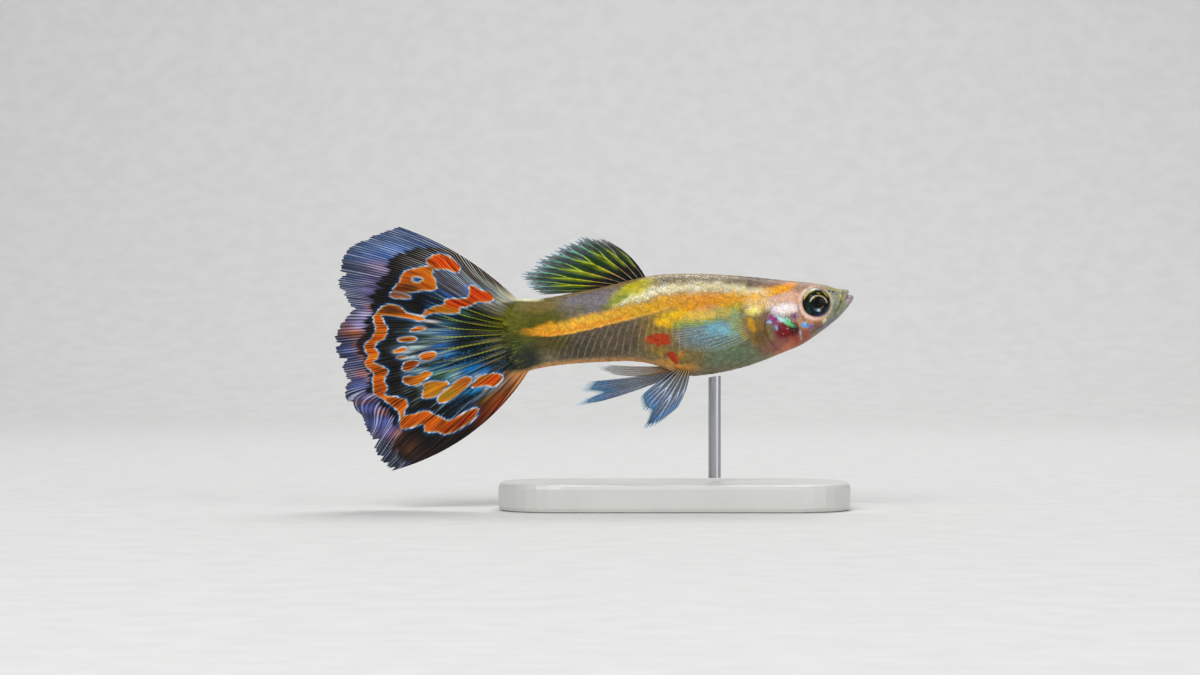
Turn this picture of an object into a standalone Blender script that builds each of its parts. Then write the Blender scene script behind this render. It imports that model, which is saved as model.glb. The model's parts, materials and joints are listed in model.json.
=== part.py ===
"""A male fancy guppy at life size, still, swimming level on a plain display stand.

The fish is built in its own frame: its snout is at the origin, it faces +X and up is +Z.
"behind" is a distance behind the snout tip, "height" is above the body's long axis, and
the side is +Y for the fish's left. One empty then pitches the whole fish nose up and
lifts it to its place over the stand.
"""

import math

import bmesh
import bpy
from mathutils import Matrix, Vector

MM = 0.001
GAP = 0.3 * MM

# Pose and place of the whole fish
NOSE_UP = math.radians(6.7)
SNOUT_PLACE = Vector((20.61 * MM, 0.0, 16.97 * MM))

# Body, from snout to the root of the tail fin: behind, back height, belly height, half width
BODY_STATIONS = (
    (-0.08, 0.14, -0.24, 0.55),
    (0.25, 0.60, -0.62, 0.95),
    (1.0, 0.78, -1.34, 1.22),
    (2.0, 1.18, -2.02, 1.58),
    (3.0, 1.47, -2.60, 1.80),
    (4.5, 1.80, -3.35, 2.02),
    (6.0, 2.12, -3.78, 2.18),
    (8.0, 2.56, -4.32, 2.30),
    (10.0, 2.95, -4.66, 2.35),
    (12.0, 3.26, -4.80, 2.30),
    (13.6, 3.45, -4.74, 2.15),
    (15.0, 3.55, -4.15, 1.95),
    (16.5, 3.50, -3.45, 1.72),
    (18.0, 3.33, -3.05, 1.52),
    (20.0, 3.07, -2.85, 1.30),
    (22.0, 2.93, -2.72, 1.08),
    (24.0, 2.78, -2.67, 0.88),
    (25.4, 2.78, -2.74, 0.72),
    (26.4, 2.95, -3.02, 0.60),
)
WIDEST_SHARE = 0.55
BACK_FULLNESS = 0.86
BELLY_FULLNESS = 0.94
ROOT_FULLNESS = 0.45
SECTION_SIDES = 40

# The end of the flesh is an arc, seen from the side, that the tail fin grows from
TAIL_ARC_BEHIND = 24.35 * MM
TAIL_ARC_HEIGHT = -0.15 * MM
TAIL_ARC_RADIUS = 3.70 * MM
TAIL_ARC_CORNER = 1.97 * MM

# Where the body is parted
HEAD_END = 7.2 * MM
TRUNK_START = HEAD_END + GAP
TRUNK_END = 15.6 * MM
STEM_START = TRUNK_END + GAP

# Eye, gill cover and nostril
EYE_BEHIND = 3.0 * MM
EYE_HEIGHT = -0.13 * MM
EYE_RADIUS = 1.12 * MM
EYE_DEPTH = 0.70 * MM
EYE_SIDE = 1.25 * MM
COVER_BEHIND = 5.95 * MM
COVER_HEIGHT = -1.65 * MM
COVER_HALF_LENGTH = 1.22 * MM
COVER_HALF_HEIGHT = 1.78 * MM
COVER_THICKNESS = 0.55 * MM
NOSTRIL_PLACE = (1.54 * MM, 0.58 * MM, 0.98 * MM)
NOSTRIL_RADIUS = 0.22 * MM

# Mouth: the line under the upper jaw, behind and height, and the lips
MOUTH_LINE = ((-0.6, 0.46), (0.25, 0.44), (0.60, 0.22), (1.05, -0.20), (1.50, -0.90))
JAW_END = (1.95, -2.8)
LIP_RADIUS = 0.13 * MM
UPPER_LIP = ((1.0, -0.02, 1.12), (0.55, 0.36, 0.88), (0.24, 0.53, 0.42), (0.19, 0.54, 0.0))
LOWER_LIP = ((0.75, -0.45, 1.02), (0.3, -0.12, 0.80), (0.0, -0.06, 0.42), (-0.06, -0.05, 0.0))

# Fins: membrane and ray thickness
MEMBRANE = 0.50 * MM
RAY_RELIEF = 0.26 * MM
TIP_SHARE = 0.45
FORK_AT = 0.50
SCALLOP = 0.028

# Display stand
BASE_SIZE = (28.0 * MM, 13.0 * MM, 2.2 * MM)
BASE_X = 6.4 * MM
BASE_CORNER = 5.0 * MM
BASE_EDGE = 0.35 * MM
ROD_RADIUS = 0.5 * MM
ROD_BEHIND = 11.6 * MM
ROD_SINK = 1.2 * MM

COLOURS = {
    "flesh": ((0.62, 0.46, 0.16), 0.35, 0.15),
    "silver": ((0.72, 0.55, 0.50), 0.25, 0.35),
    "eye": ((0.02, 0.03, 0.03), 0.08, 0.0),
    "tail_web": ((0.16, 0.14, 0.22), 0.40, 0.0),
    "green_web": ((0.20, 0.26, 0.10), 0.40, 0.0),
    "blue_web": ((0.16, 0.26, 0.40), 0.40, 0.0),
    "clear_web": ((0.60, 0.66, 0.62), 0.35, 0.0),
    "stand_lacquer": ((0.72, 0.72, 0.70), 0.35, 0.0),
    "stand_steel": ((0.60, 0.60, 0.62), 0.25, 1.0),
}


def clear_scene():
    for old in list(bpy.data.objects):
        bpy.data.objects.remove(old)


def new_collection(name):
    collection = bpy.data.collections.new(name)
    bpy.context.scene.collection.children.link(collection)
    return collection


def material(name):
    """The Principled material of that name, made the first time that it is asked for."""
    made = bpy.data.materials.get(name)
    if made:
        return made
    colour, roughness, metallic = COLOURS[name]
    made = bpy.data.materials.new(name)
    made.use_nodes = True
    shader = made.node_tree.nodes["Principled BSDF"]
    shader.inputs["Base Color"].default_value = (*colour, 1.0)
    shader.inputs["Roughness"].default_value = roughness
    shader.inputs["Metallic"].default_value = metallic
    return made


def add_object(name, mesh, collection, finish=None, parent=None):
    obj = bpy.data.objects.new(name, mesh)
    collection.objects.link(obj)
    obj.parent = parent
    if finish:
        mesh.materials.clear()
        mesh.materials.append(material(finish))
        mesh.shade_smooth()
        mesh.set_sharp_from_angle(angle=math.radians(50))
    else:
        obj.hide_render = True
        obj.display_type = "WIRE"
    return obj


def mesh_from(name, bm):
    """Closes the bmesh's normals outwards and hands it over as a mesh."""
    bmesh.ops.recalc_face_normals(bm, faces=bm.faces)
    mesh = bpy.data.meshes.new(name)
    bm.to_mesh(mesh)
    bm.free()
    return mesh


def add_boolean(obj, other, operation):
    modifier = obj.modifiers.new(f"{operation.lower()}_{other.name}", "BOOLEAN")
    modifier.object = other
    modifier.operation = operation
    modifier.solver = "EXACT"


def smooth_through(points, at):
    """The height at "at" of a smooth curve through (place, value) points, by cubic Hermite pieces."""
    places = [p[0] for p in points]
    at = min(max(at, places[0]), places[-1])
    i = max(k for k in range(len(points) - 1) if places[k] <= at)

    def slope(k):
        before, after = max(k - 1, 0), min(k + 1, len(points) - 1)
        return (points[after][1] - points[before][1]) / (places[after] - places[before])

    span = places[i + 1] - places[i]
    t = (at - places[i]) / span
    start, end = points[i][1], points[i + 1][1]
    return (
        start * (2 * t**3 - 3 * t**2 + 1)
        + end * (3 * t**2 - 2 * t**3)
        + slope(i) * span * (t**3 - 2 * t**2 + t)
        + slope(i + 1) * span * (t**3 - t**2)
    )


def body_at(behind):
    """Back height, belly height and half width of the body at a distance behind the snout."""
    return [
        smooth_through([(s[0], s[column]) for s in BODY_STATIONS], behind / MM) * MM
        for column in (1, 2, 3)
    ]


def body_section(behind, grow=0.0, bend=0.0):
    """One ring round the body. "grow" sets it outwards, and "bend" from 0 to 1 bows it to the tail arc."""
    top, bottom, half_width = body_at(behind)
    middle = bottom + WIDEST_SHARE * (top - bottom)
    ring = []
    for i in range(SECTION_SIDES):
        angle = 2 * math.pi * i / SECTION_SIDES
        c, s = math.cos(angle), math.sin(angle)
        reach = (top - middle if s >= 0 else middle - bottom) + grow
        fullness = BACK_FULLNESS if s >= 0 else BELLY_FULLNESS
        fullness += (ROOT_FULLNESS - fullness) * bend
        height = middle + reach * s
        place = behind
        if bend > 0:
            off = height - TAIL_ARC_HEIGHT
            arc = math.sqrt(max((TAIL_ARC_RADIUS + grow) ** 2 - off**2, 0.0))
            place = TAIL_ARC_BEHIND + bend * arc
        side = (half_width + grow) * math.copysign(abs(c) ** fullness, c)
        ring.append(Vector((-place, side, height)))
    return ring


def cap(bm, ring):
    """Closes a ring with faces between each left point and the right point at its height."""
    half = SECTION_SIDES // 2
    quarter = half // 2
    for i in range(quarter, -quarter, -1):
        upper_left, lower_left = ring[i % SECTION_SIDES], ring[(i - 1) % SECTION_SIDES]
        upper_right, lower_right = ring[(half - i) % SECTION_SIDES], ring[(half - i + 1) % SECTION_SIDES]
        corners = []
        for vertex in (upper_left, lower_left, lower_right, upper_right):
            if vertex not in corners:
                corners.append(vertex)
        bm.faces.new(corners)


def body_length(name, start, end, step, grow=0.0):
    """A closed length of the body between two distances behind the snout."""
    count = max(2, round((min(end, TAIL_ARC_BEHIND) - start) / step))
    stop = min(end, TAIL_ARC_BEHIND)
    rings = [body_section(start + (stop - start) * i / count, grow) for i in range(count + 1)]
    if end > TAIL_ARC_BEHIND:
        bends = 5
        for i in range(1, bends + 1):
            bend = i / bends
            rings.append(body_section(TAIL_ARC_BEHIND + bend * TAIL_ARC_CORNER, grow, bend))
    bm = bmesh.new()
    loops = [[bm.verts.new(point) for point in ring] for ring in rings]
    for near, far in zip(loops, loops[1:]):
        for i in range(SECTION_SIDES):
            j = (i + 1) % SECTION_SIDES
            bm.faces.new((near[i], near[j], far[j], far[i]))
    cap(bm, loops[0])
    cap(bm, loops[-1])
    return mesh_from(name, bm)


def prism(name, outline, half_width, guides, parent):
    """A guide solid: an outline of (behind, height) points in mm, as wide as asked on both sides."""
    curve = bpy.data.curves.new(name, "CURVE")
    curve.dimensions = "2D"
    curve.fill_mode = "BOTH"
    curve.extrude = half_width
    spline = curve.splines.new("POLY")
    spline.points.add(len(outline) - 1)
    for point, (behind, height) in zip(spline.points, outline):
        point.co = (-behind * MM, height * MM, 0.0, 1.0)
    spline.use_cyclic_u = True
    return curve_to_mesh(name, curve, guides, parent, Matrix.Rotation(math.pi / 2, 4, "X"))


def curve_to_mesh(name, curve, collection, parent, turn):
    """Turns a curve into a closed mesh guide, its caps welded to its sides."""
    holder = bpy.data.objects.new(f"{name}_curve", curve)
    bpy.context.scene.collection.objects.link(holder)
    graph = bpy.context.evaluated_depsgraph_get()
    mesh = bpy.data.meshes.new_from_object(holder.evaluated_get(graph))
    bpy.data.objects.remove(holder)
    bm = bmesh.new()
    bm.from_mesh(mesh)
    bmesh.ops.remove_doubles(bm, verts=bm.verts, dist=0.001 * MM)
    bm.transform(turn)
    return add_object(name, mesh_from(name, bm), collection, parent=parent)


def lip(name, half_line, guides, parent):
    """A round lip from one corner of the mouth to the other, mirrored from its left half."""
    left = [(-b * MM, y * MM, h * MM) for b, h, y in half_line]
    right = [(x, -y, z) for x, y, z in reversed(left[:-1])]
    curve = bpy.data.curves.new(name, "CURVE")
    curve.dimensions = "3D"
    curve.bevel_depth = LIP_RADIUS
    curve.bevel_resolution = 1
    curve.use_fill_caps = True
    spline = curve.splines.new("POLY")
    spline.points.add(len(left + right) - 1)
    for point, place in zip(spline.points, left + right):
        point.co = (*place, 1.0)
    return curve_to_mesh(name, curve, guides, parent, Matrix.Identity(4))


def ellipsoid(name, centre, half_sizes, segments, collection, parent, finish=None):
    bm = bmesh.new()
    bmesh.ops.create_uvsphere(bm, u_segments=segments, v_segments=segments // 2, radius=1.0)
    # The poles face the sides, so that the rings run round the pupil.
    shape = Matrix.Translation(centre) @ Matrix.Diagonal((*half_sizes, 1.0))
    bm.transform(shape @ Matrix.Rotation(math.pi / 2, 4, "X"))
    return add_object(name, mesh_from(name, bm), collection, finish, parent)


def oval_block(name, side, grow, guides, parent):
    """A guide that covers one gill cover, an upright oval from the middle plane outwards."""
    bm = bmesh.new()
    bmesh.ops.create_cone(bm, cap_ends=True, segments=28, radius1=1.0, radius2=1.0, depth=1.0)
    reach = 4.0 * MM
    centre = Vector((-COVER_BEHIND, side * (reach / 2 + 0.3 * MM), COVER_HEIGHT))
    sizes = (COVER_HALF_LENGTH + grow, reach, COVER_HALF_HEIGHT + grow)
    shape = Matrix.Translation(centre) @ Matrix.Diagonal((*sizes, 1.0))
    bm.transform(shape @ Matrix.Rotation(math.pi / 2, 4, "X"))
    return add_object(name, mesh_from(name, bm), guides, parent=parent)


def build_head(fish, parts, guides):
    """Skull with the upper jaw, the lower jaw, two gill covers and two eyes."""
    step = 0.42 * MM
    front = BODY_STATIONS[0][0] * MM
    skull_shape = body_length("head", front, HEAD_END, step)
    head = add_object("head", skull_shape, parts, "silver", fish)
    jaw = add_object("lower_jaw", skull_shape.copy(), parts, "silver", fish)

    chin = [JAW_END, (-0.6, JAW_END[1])]
    upper_cut = prism("mouth_cut", [*MOUTH_LINE, *chin], 4 * MM, guides, fish)
    gap = GAP / MM
    jaw_line = [(b - gap * 0.55, h - gap * 0.85) for b, h in MOUTH_LINE]
    jaw_end = (JAW_END[0] - gap * 1.1, JAW_END[1])
    jaw_block = prism("jaw_block", [*jaw_line, jaw_end, (-1.0, JAW_END[1])], 3.5 * MM, guides, fish)
    add_boolean(head, upper_cut, "DIFFERENCE")
    add_boolean(jaw, jaw_block, "INTERSECT")
    add_boolean(head, lip("upper_lip", UPPER_LIP, guides, fish), "UNION")
    add_boolean(jaw, lip("lower_lip", LOWER_LIP, guides, fish), "UNION")

    inner_start, inner_end = COVER_BEHIND - 2 * COVER_HALF_LENGTH, HEAD_END + 2 * MM
    inside = body_length("under_cover", inner_start, inner_end, step, -COVER_THICKNESS)
    under_cover = add_object("under_cover", inside, guides, parent=fish)
    deeper = body_length("under_pocket", inner_start, inner_end, step, -COVER_THICKNESS - GAP)
    under_pocket = add_object("under_pocket", deeper, guides, parent=fish)
    for name, side in (("right", -1), ("left", 1)):
        socket_size = (EYE_RADIUS + GAP, EYE_DEPTH + GAP, EYE_RADIUS + GAP)
        eye_place = Vector((-EYE_BEHIND, side * EYE_SIDE, EYE_HEIGHT))
        socket = ellipsoid(f"socket_{name}", eye_place, socket_size, 24, guides, fish)
        add_boolean(head, socket, "DIFFERENCE")
        eye_size = (EYE_RADIUS, EYE_DEPTH, EYE_RADIUS)
        ellipsoid(f"eye_{name}", eye_place, eye_size, 20, parts, fish, "eye")

        pocket = oval_block(f"pocket_{name}", side, GAP, guides, fish)
        add_boolean(pocket, under_pocket, "DIFFERENCE")
        add_boolean(head, pocket, "DIFFERENCE")
        cover = add_object(f"gill_cover_{name}", skull_shape.copy(), parts, "silver", fish)
        add_boolean(cover, oval_block(f"cover_block_{name}", side, 0.0, guides, fish), "INTERSECT")
        add_boolean(cover, under_cover, "DIFFERENCE")

        behind, height, out = NOSTRIL_PLACE
        pit_size = (NOSTRIL_RADIUS,) * 3
        pit = ellipsoid(f"nostril_{name}", Vector((-behind, side * out, height)), pit_size, 10, guides, fish)
        add_boolean(head, pit, "DIFFERENCE")


def build_body(fish, parts):
    """The trunk and the tail stem behind it, which ends in the arc that carries the tail fin."""
    step = 0.70 * MM
    trunk = body_length("trunk", TRUNK_START, TRUNK_END, step)
    add_object("trunk", trunk, parts, "flesh", fish)
    stem = body_length("tail_stem", STEM_START, TAIL_ARC_BEHIND + TAIL_ARC_RADIUS, step)
    add_object("tail_stem", stem, parts, "flesh", fish)


def curve_through(points):
    """A function of 0 to 1 that runs smoothly through (behind, height) points given in mm."""
    last = len(points) - 1
    columns = [[(i / last, p[k] * MM) for i, p in enumerate(points)] for k in (0, 1)]
    return lambda share: tuple(smooth_through(column, share) for column in columns)


def ray_ridge(phase, along):
    """How high the surface stands on a ray: one ridge near the root that forks into two."""
    near_ray = {0: 0.0, 1: 0.7, 2: 1.0, 3: 0.7}
    after_fork = {0: 0.0, 1: 1.0, 2: 0.25, 3: 1.0}
    t = min(max((along - FORK_AT + 0.12) / 0.24, 0.0), 1.0)
    forked = t * t * (3 - 2 * t)
    return near_ray[phase] * (1 - forked) + after_fork[phase] * forked


def fin_mesh(name, rays, rows, root, margin, bow, side_at, thickness=MEMBRANE, relief=RAY_RELIEF):
    """A fin as a ridged membrane with one thickness that thins to its edge.

    root, margin: functions of the share across the fin, 0 on its leading edge, to (behind, height)
    bow: how far each ray bows off its chord, on the leading edge and on the trailing one
    side_at: the function of (across, along) that sets the fin's sideways place
    """
    columns = 4 * rays
    bm = bmesh.new()
    across_layer = bm.verts.layers.float.new("across")
    along_layer = bm.verts.layers.float.new("along")
    grid = [[bm.verts.new() for _ in range(columns + 1)] for _ in range(rows + 1)]
    for j, row in enumerate(grid):
        for i, vertex in enumerate(row):
            vertex[across_layer] = i / columns
            vertex[along_layer] = j / rows
    for near, far in zip(grid, grid[1:]):
        for i in range(columns):
            bm.faces.new((near[i], near[i + 1], far[i + 1], far[i]))
    bmesh.ops.triangulate(bm, faces=bm.faces, quad_method="FIXED")
    doubled = bmesh.ops.extrude_face_region(bm, geom=bm.faces[:])
    far_side = {element for element in doubled["geom"] if isinstance(element, bmesh.types.BMVert)}
    for vertex in bm.verts:
        across, along = vertex[across_layer], vertex[along_layer]
        phase = round(across * columns) % 4
        ridge = ray_ridge(phase, along)
        reach = along * (1 - SCALLOP * (1 - ridge) * along)
        start, end = Vector(root(across)), Vector(margin(across))
        chord = end - start
        offset = bow[0] + (bow[1] - bow[0]) * across
        control = (start + end) / 2 + Vector((-chord.y, chord.x)).normalized() * offset
        place = start * (1 - reach) ** 2 + control * 2 * reach * (1 - reach) + end * reach**2
        taper = 1 - (1 - TIP_SHARE) * max(along - 0.55, 0.0) / 0.45
        half = (thickness + relief * ridge) / 2 * taper
        out = side_at(across, along) + (half if vertex in far_side else -half)
        vertex.co = (-place.x, out, place.y)
    return mesh_from(name, bm)


def build_tail_fin(fish, parts, clearance):
    """The wide fan of the tail, whose rays spread from a short upright plate inside the flesh."""
    rays, rows = 16, 15
    plate_behind, plate_top, plate_bottom = 25.6 * MM, 1.6 * MM, -1.9 * MM
    margin = curve_through(
        (
            (35.4, 9.86),
            (39.4, 8.75),
            (40.75, 6.1),
            (40.1, 3.9),
            (41.55, 1.3),
            (41.0, -1.6),
            (41.3, -3.6),
            (39.9, -5.9),
            (39.2, -8.3),
            (38.3, -9.55),
        )
    )

    def root(share):
        return (plate_behind, plate_top + (plate_bottom - plate_top) * share)

    def side_at(across, along):
        swing = 0.55 * MM * math.sin(2 * math.pi * (1.4 * across + 0.1))
        return swing * along**2

    mesh = fin_mesh("tail_fin", rays, rows, root, margin, (1.7 * MM, -3.1 * MM), side_at, 0.54 * MM)
    fin = add_object("tail_fin", mesh, parts, "tail_web", fish)
    add_boolean(fin, clearance, "DIFFERENCE")


def build_back_fin(fish, parts, clearance):
    """The dorsal fin, a fan of eight rays laid back over the tail stem."""
    first, last, sink = 16.15 * MM, 18.9 * MM, 0.3 * MM
    margin = curve_through(
        (
            (18.4, 6.4),
            (19.3, 7.0),
            (20.9, 7.38),
            (22.3, 7.0),
            (24.1, 6.3),
            (26.35, 4.7),
            (25.7, 3.6),
            (24.8, 3.1),
        )
    )

    def root(share):
        behind = first + (last - first) * share
        return (behind, body_at(behind)[0] - sink)

    def side_at(across, along):
        return 0.35 * MM * math.sin(math.pi * across) * along**2

    mesh = fin_mesh("dorsal_fin", 8, 10, root, margin, (0.55 * MM, -0.15 * MM), side_at)
    fin = add_object("dorsal_fin", mesh, parts, "green_web", fish)
    add_boolean(fin, clearance, "DIFFERENCE")


def build_anal_fin(fish, parts, clearance):
    """The anal fin, in a male a slim folded fan of a few rays that lies back under the belly."""
    root = curve_through(((14.85, -4.15), (15.5, -3.75)))
    margin = curve_through(((20.45, -3.6), (20.9, -3.4), (20.95, -3.2)))
    mesh = fin_mesh("anal_fin", 4, 10, root, margin, (-0.8 * MM, -0.2 * MM), lambda across, along: 0.0)
    fin = add_object("anal_fin", mesh, parts, "clear_web", fish)
    add_boolean(fin, clearance, "DIFFERENCE")


def build_pelvic_fins(fish, parts, clearance):
    """The paired pelvic fins. The right one flares down and out, and the left one trails back."""
    root_side, root_height = 0.85 * MM, -4.2
    root = curve_through(((13.6, root_height), (14.65, root_height + 0.2)))
    right_margin = curve_through(((15.65, -7.65), (17.8, -8.45), (17.4, -7.2), (17.75, -6.3), (17.6, -5.75)))
    left_margin = curve_through(((22.9, -6.1), (21.6, -5.55), (21.3, -5.2), (22.4, -4.95), (21.8, -4.3)))

    def flare(side, reach):
        return lambda across, along: side * (root_side + reach * along)

    for name, side, reach, margin, bow in (
        ("right", -1, 3.2 * MM, right_margin, (-0.55 * MM, 0.1 * MM)),
        ("left", 1, 1.0 * MM, left_margin, (-0.25 * MM, -0.35 * MM)),
    ):
        mesh = fin_mesh(f"pelvic_fin_{name}", 6, 8, root, margin, bow, flare(side, reach))
        fin = add_object(f"pelvic_fin_{name}", mesh, parts, "blue_web", fish)
        add_boolean(fin, clearance, "DIFFERENCE")


def build_pectoral_fins(fish, parts, clearance):
    """The clear paired fins behind the gill covers, swept back and a little off the flanks."""
    root_side, stand_off = 2.0 * MM, 1.9 * MM
    root = curve_through(((8.05, -0.7), (8.75, -1.5), (8.6, -2.35)))
    margin = curve_through(((11.6, 0.75), (13.9, 0.1), (14.8, -1.35), (13.6, -2.7), (11.6, -3.1)))

    def out(side):
        return lambda across, along: side * (root_side + stand_off * (1 - (1 - along) ** 2.5))

    for name, side in (("right", -1), ("left", 1)):
        mesh = fin_mesh(f"pectoral_fin_{name}", 6, 8, root, margin, (0.35 * MM, -0.35 * MM), out(side))
        fin = add_object(f"pectoral_fin_{name}", mesh, parts, "clear_web", fish)
        add_boolean(fin, clearance, "DIFFERENCE")


def build_stand(parts, fish, clearance):
    """A flat base with one short rod, whose top is shaped to the belly that it carries."""
    length, width, height = BASE_SIZE
    bm = bmesh.new()
    bmesh.ops.create_cube(bm, size=1.0)
    bm.transform(Matrix.Diagonal((length, width, height, 1.0)))
    upright = [e for e in bm.edges if abs(e.verts[0].co.z - e.verts[1].co.z) > height / 2]
    bmesh.ops.bevel(bm, geom=upright, offset=BASE_CORNER, segments=8, profile=0.5, affect="EDGES")
    base = add_object("stand_base", mesh_from("stand_base", bm), parts, "stand_lacquer")
    base.location = (BASE_X, 0.0, height / 2)
    edge = base.modifiers.new("edge", "BEVEL")
    edge.width = BASE_EDGE
    edge.segments = 2
    edge.limit_method = "ANGLE"
    edge.angle_limit = math.radians(60)

    belly = fish.matrix_basis @ Vector((-ROD_BEHIND, 0.0, body_at(ROD_BEHIND)[1]))
    bottom, top = height + GAP, belly.z + ROD_SINK
    bm = bmesh.new()
    bmesh.ops.create_cone(
        bm, cap_ends=True, segments=24, radius1=ROD_RADIUS, radius2=ROD_RADIUS, depth=top - bottom
    )
    rod = add_object("stand_rod", mesh_from("stand_rod", bm), parts, "stand_steel")
    rod.location = (belly.x, 0.0, (bottom + top) / 2)
    add_boolean(rod, clearance, "DIFFERENCE")


def main():
    clear_scene()
    parts = new_collection("fancy_guppy")
    guides = new_collection("guides")
    fish = bpy.data.objects.new("fish_pose", None)
    bpy.context.scene.collection.objects.link(fish)
    fish.location = SNOUT_PLACE
    fish.rotation_euler = (0.0, -NOSE_UP, 0.0)
    bpy.context.view_layer.update()

    shape = body_length("clearance", 5.0 * MM, TAIL_ARC_BEHIND + TAIL_ARC_RADIUS, 0.62 * MM, GAP)
    clearance = add_object("clearance", shape, guides, parent=fish)
    build_head(fish, parts, guides)
    build_body(fish, parts)
    build_tail_fin(fish, parts, clearance)
    build_back_fin(fish, parts, clearance)
    build_anal_fin(fish, parts, clearance)
    build_pelvic_fins(fish, parts, clearance)
    build_pectoral_fins(fish, parts, clearance)
    build_stand(parts, fish, clearance)


main()
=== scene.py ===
"""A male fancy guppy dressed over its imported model, in the fish's own pose over its stand.

Lengths marked MM are in millimetres. The fish's own frame has its snout tip at the origin:
"behind" runs back along the body, "height" runs up and "side" runs to the fish's left.
"""

import json
import math

import bpy
import numpy as np
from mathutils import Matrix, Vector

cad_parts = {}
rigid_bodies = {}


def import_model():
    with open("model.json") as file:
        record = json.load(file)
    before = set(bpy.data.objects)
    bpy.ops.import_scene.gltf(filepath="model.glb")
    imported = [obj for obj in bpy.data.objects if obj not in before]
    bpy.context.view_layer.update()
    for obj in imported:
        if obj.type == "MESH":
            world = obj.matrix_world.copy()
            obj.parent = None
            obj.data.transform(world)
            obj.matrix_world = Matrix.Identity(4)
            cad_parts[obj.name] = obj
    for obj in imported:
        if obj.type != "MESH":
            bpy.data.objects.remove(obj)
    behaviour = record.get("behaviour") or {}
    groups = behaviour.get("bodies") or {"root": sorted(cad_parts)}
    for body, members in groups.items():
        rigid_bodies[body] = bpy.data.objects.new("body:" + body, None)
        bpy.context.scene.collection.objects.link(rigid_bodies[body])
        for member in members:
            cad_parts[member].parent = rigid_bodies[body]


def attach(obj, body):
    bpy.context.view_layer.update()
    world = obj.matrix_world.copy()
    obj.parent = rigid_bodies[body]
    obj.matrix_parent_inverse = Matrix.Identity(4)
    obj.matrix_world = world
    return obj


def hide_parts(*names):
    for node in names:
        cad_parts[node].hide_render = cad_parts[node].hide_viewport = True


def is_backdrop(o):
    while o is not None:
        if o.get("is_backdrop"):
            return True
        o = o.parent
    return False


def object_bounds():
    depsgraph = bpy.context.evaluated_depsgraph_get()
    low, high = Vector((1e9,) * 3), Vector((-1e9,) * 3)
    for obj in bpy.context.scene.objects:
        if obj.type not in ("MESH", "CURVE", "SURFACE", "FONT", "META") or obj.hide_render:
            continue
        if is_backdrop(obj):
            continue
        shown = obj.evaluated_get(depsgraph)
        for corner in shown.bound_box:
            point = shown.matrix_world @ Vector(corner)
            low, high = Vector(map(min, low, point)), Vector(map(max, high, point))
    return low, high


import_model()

cad_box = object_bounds()
bpy.ops.object.select_all(action="DESELECT")
MM = 0.001

# Display stand
# A flat board sprayed with pale satin lacquer, its edges rounded by hand, carries one steel rod that
# is drawn and polished along its length and let into the belly.


def surface_finish(name):
    """A new material, with its shader and a short way to wire a node or a sum into it."""
    made = bpy.data.materials.new(name)
    made.use_nodes = True
    tree = made.node_tree
    shader = tree.nodes["Principled BSDF"]

    def wire(socket, value):
        if isinstance(value, bpy.types.NodeSocket):
            tree.links.new(value, socket)
        else:
            socket.default_value = value

    def add(kind, inputs, output=0, **settings):
        node = tree.nodes.new("ShaderNode" + kind)
        for key, value in settings.items():
            setattr(node, key, value)
        for key, value in inputs.items():
            wire(node.inputs[key], value)
        return node.outputs[output]

    def calc(operation, a, b=0.0, c=0.0, clamp=False):
        return add("Math", {0: a, 1: b, 2: c}, operation=operation, use_clamp=clamp)

    def times(a, b):
        return calc("MULTIPLY", a, b)

    def blend(share, a, b, how="MIX"):
        return add("Mix", {0: share, 6: a, 7: b}, 2, data_type="RGBA", blend_type=how)

    def shaded(share, colour, *tint):
        return blend(share, colour, blend(1.0, colour, (*tint, 1.0), "MULTIPLY"))

    def step(value, low, high, to_low=0.0, to_high=1.0):
        inputs = {"Value": value, "From Min": low, "From Max": high, "To Min": to_low, "To Max": to_high}
        return add("MapRange", inputs, interpolation_type="SMOOTHSTEP", clamp=True)

    def finish(**sockets):
        for key, value in sockets.items():
            wire(shader.inputs[key.replace("_", " ")], value)
        return made

    return add, finish, blend, step, calc, times, shaded


def paint(red, green, blue):
    """A colour as a screen shows it, from 0 to 1, made linear for the shader."""
    parts = (red, green, blue)
    return tuple(c / 12.92 if c <= 0.04045 else ((c + 0.055) / 1.055) ** 2.4 for c in parts) + (1.0,)


def node_object(name):
    return next(o for o in bpy.data.objects if o.name == name)


def stand_lacquer():
    add, finish, blend, step, *_ = surface_finish("pale_satin_lacquer")
    place = add("TexCoord", {}, 3)
    peel = add("TexNoise", {"Vector": place, "Scale": 900.0, "Detail": 3.0})
    cloud = add("TexNoise", {"Vector": place, "Scale": 90.0, "Detail": 4.0})
    colour = blend(step(cloud, 0.3, 0.7), paint(0.80, 0.80, 0.78), paint(0.84, 0.84, 0.82))
    ripple = add("Bump", {"Strength": 0.12, "Distance": 0.00003, "Height": peel})
    rough = step(cloud, 0.2, 0.8, 0.30, 0.42)
    return finish(Base_Color=colour, Roughness=rough, Normal=ripple, Coat_Weight=0.15)


def drawn_steel():
    add, finish, blend, step, *_ = surface_finish("drawn_steel")
    place = add("TexCoord", {}, 3)
    along = add("Mapping", {"Vector": place, "Scale": (9000.0, 9000.0, 120.0)})
    drawn = add("TexNoise", {"Vector": along, "Scale": 1.0, "Detail": 2.0})
    colour = blend(drawn, paint(0.66, 0.67, 0.69), paint(0.80, 0.80, 0.82))
    ripple = add("Bump", {"Strength": 0.2, "Distance": 0.00001, "Height": drawn})
    rough = step(drawn, 0.2, 0.8, 0.24, 0.38)
    return finish(Base_Color=colour, Metallic=1.0, Roughness=rough, Normal=ripple)


for node, coating in (("stand_base", stand_lacquer()), ("stand_rod", drawn_steel())):
    stand_part = node_object(node)
    stand_part.data.materials.clear()
    stand_part.data.materials.append(coating)


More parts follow.
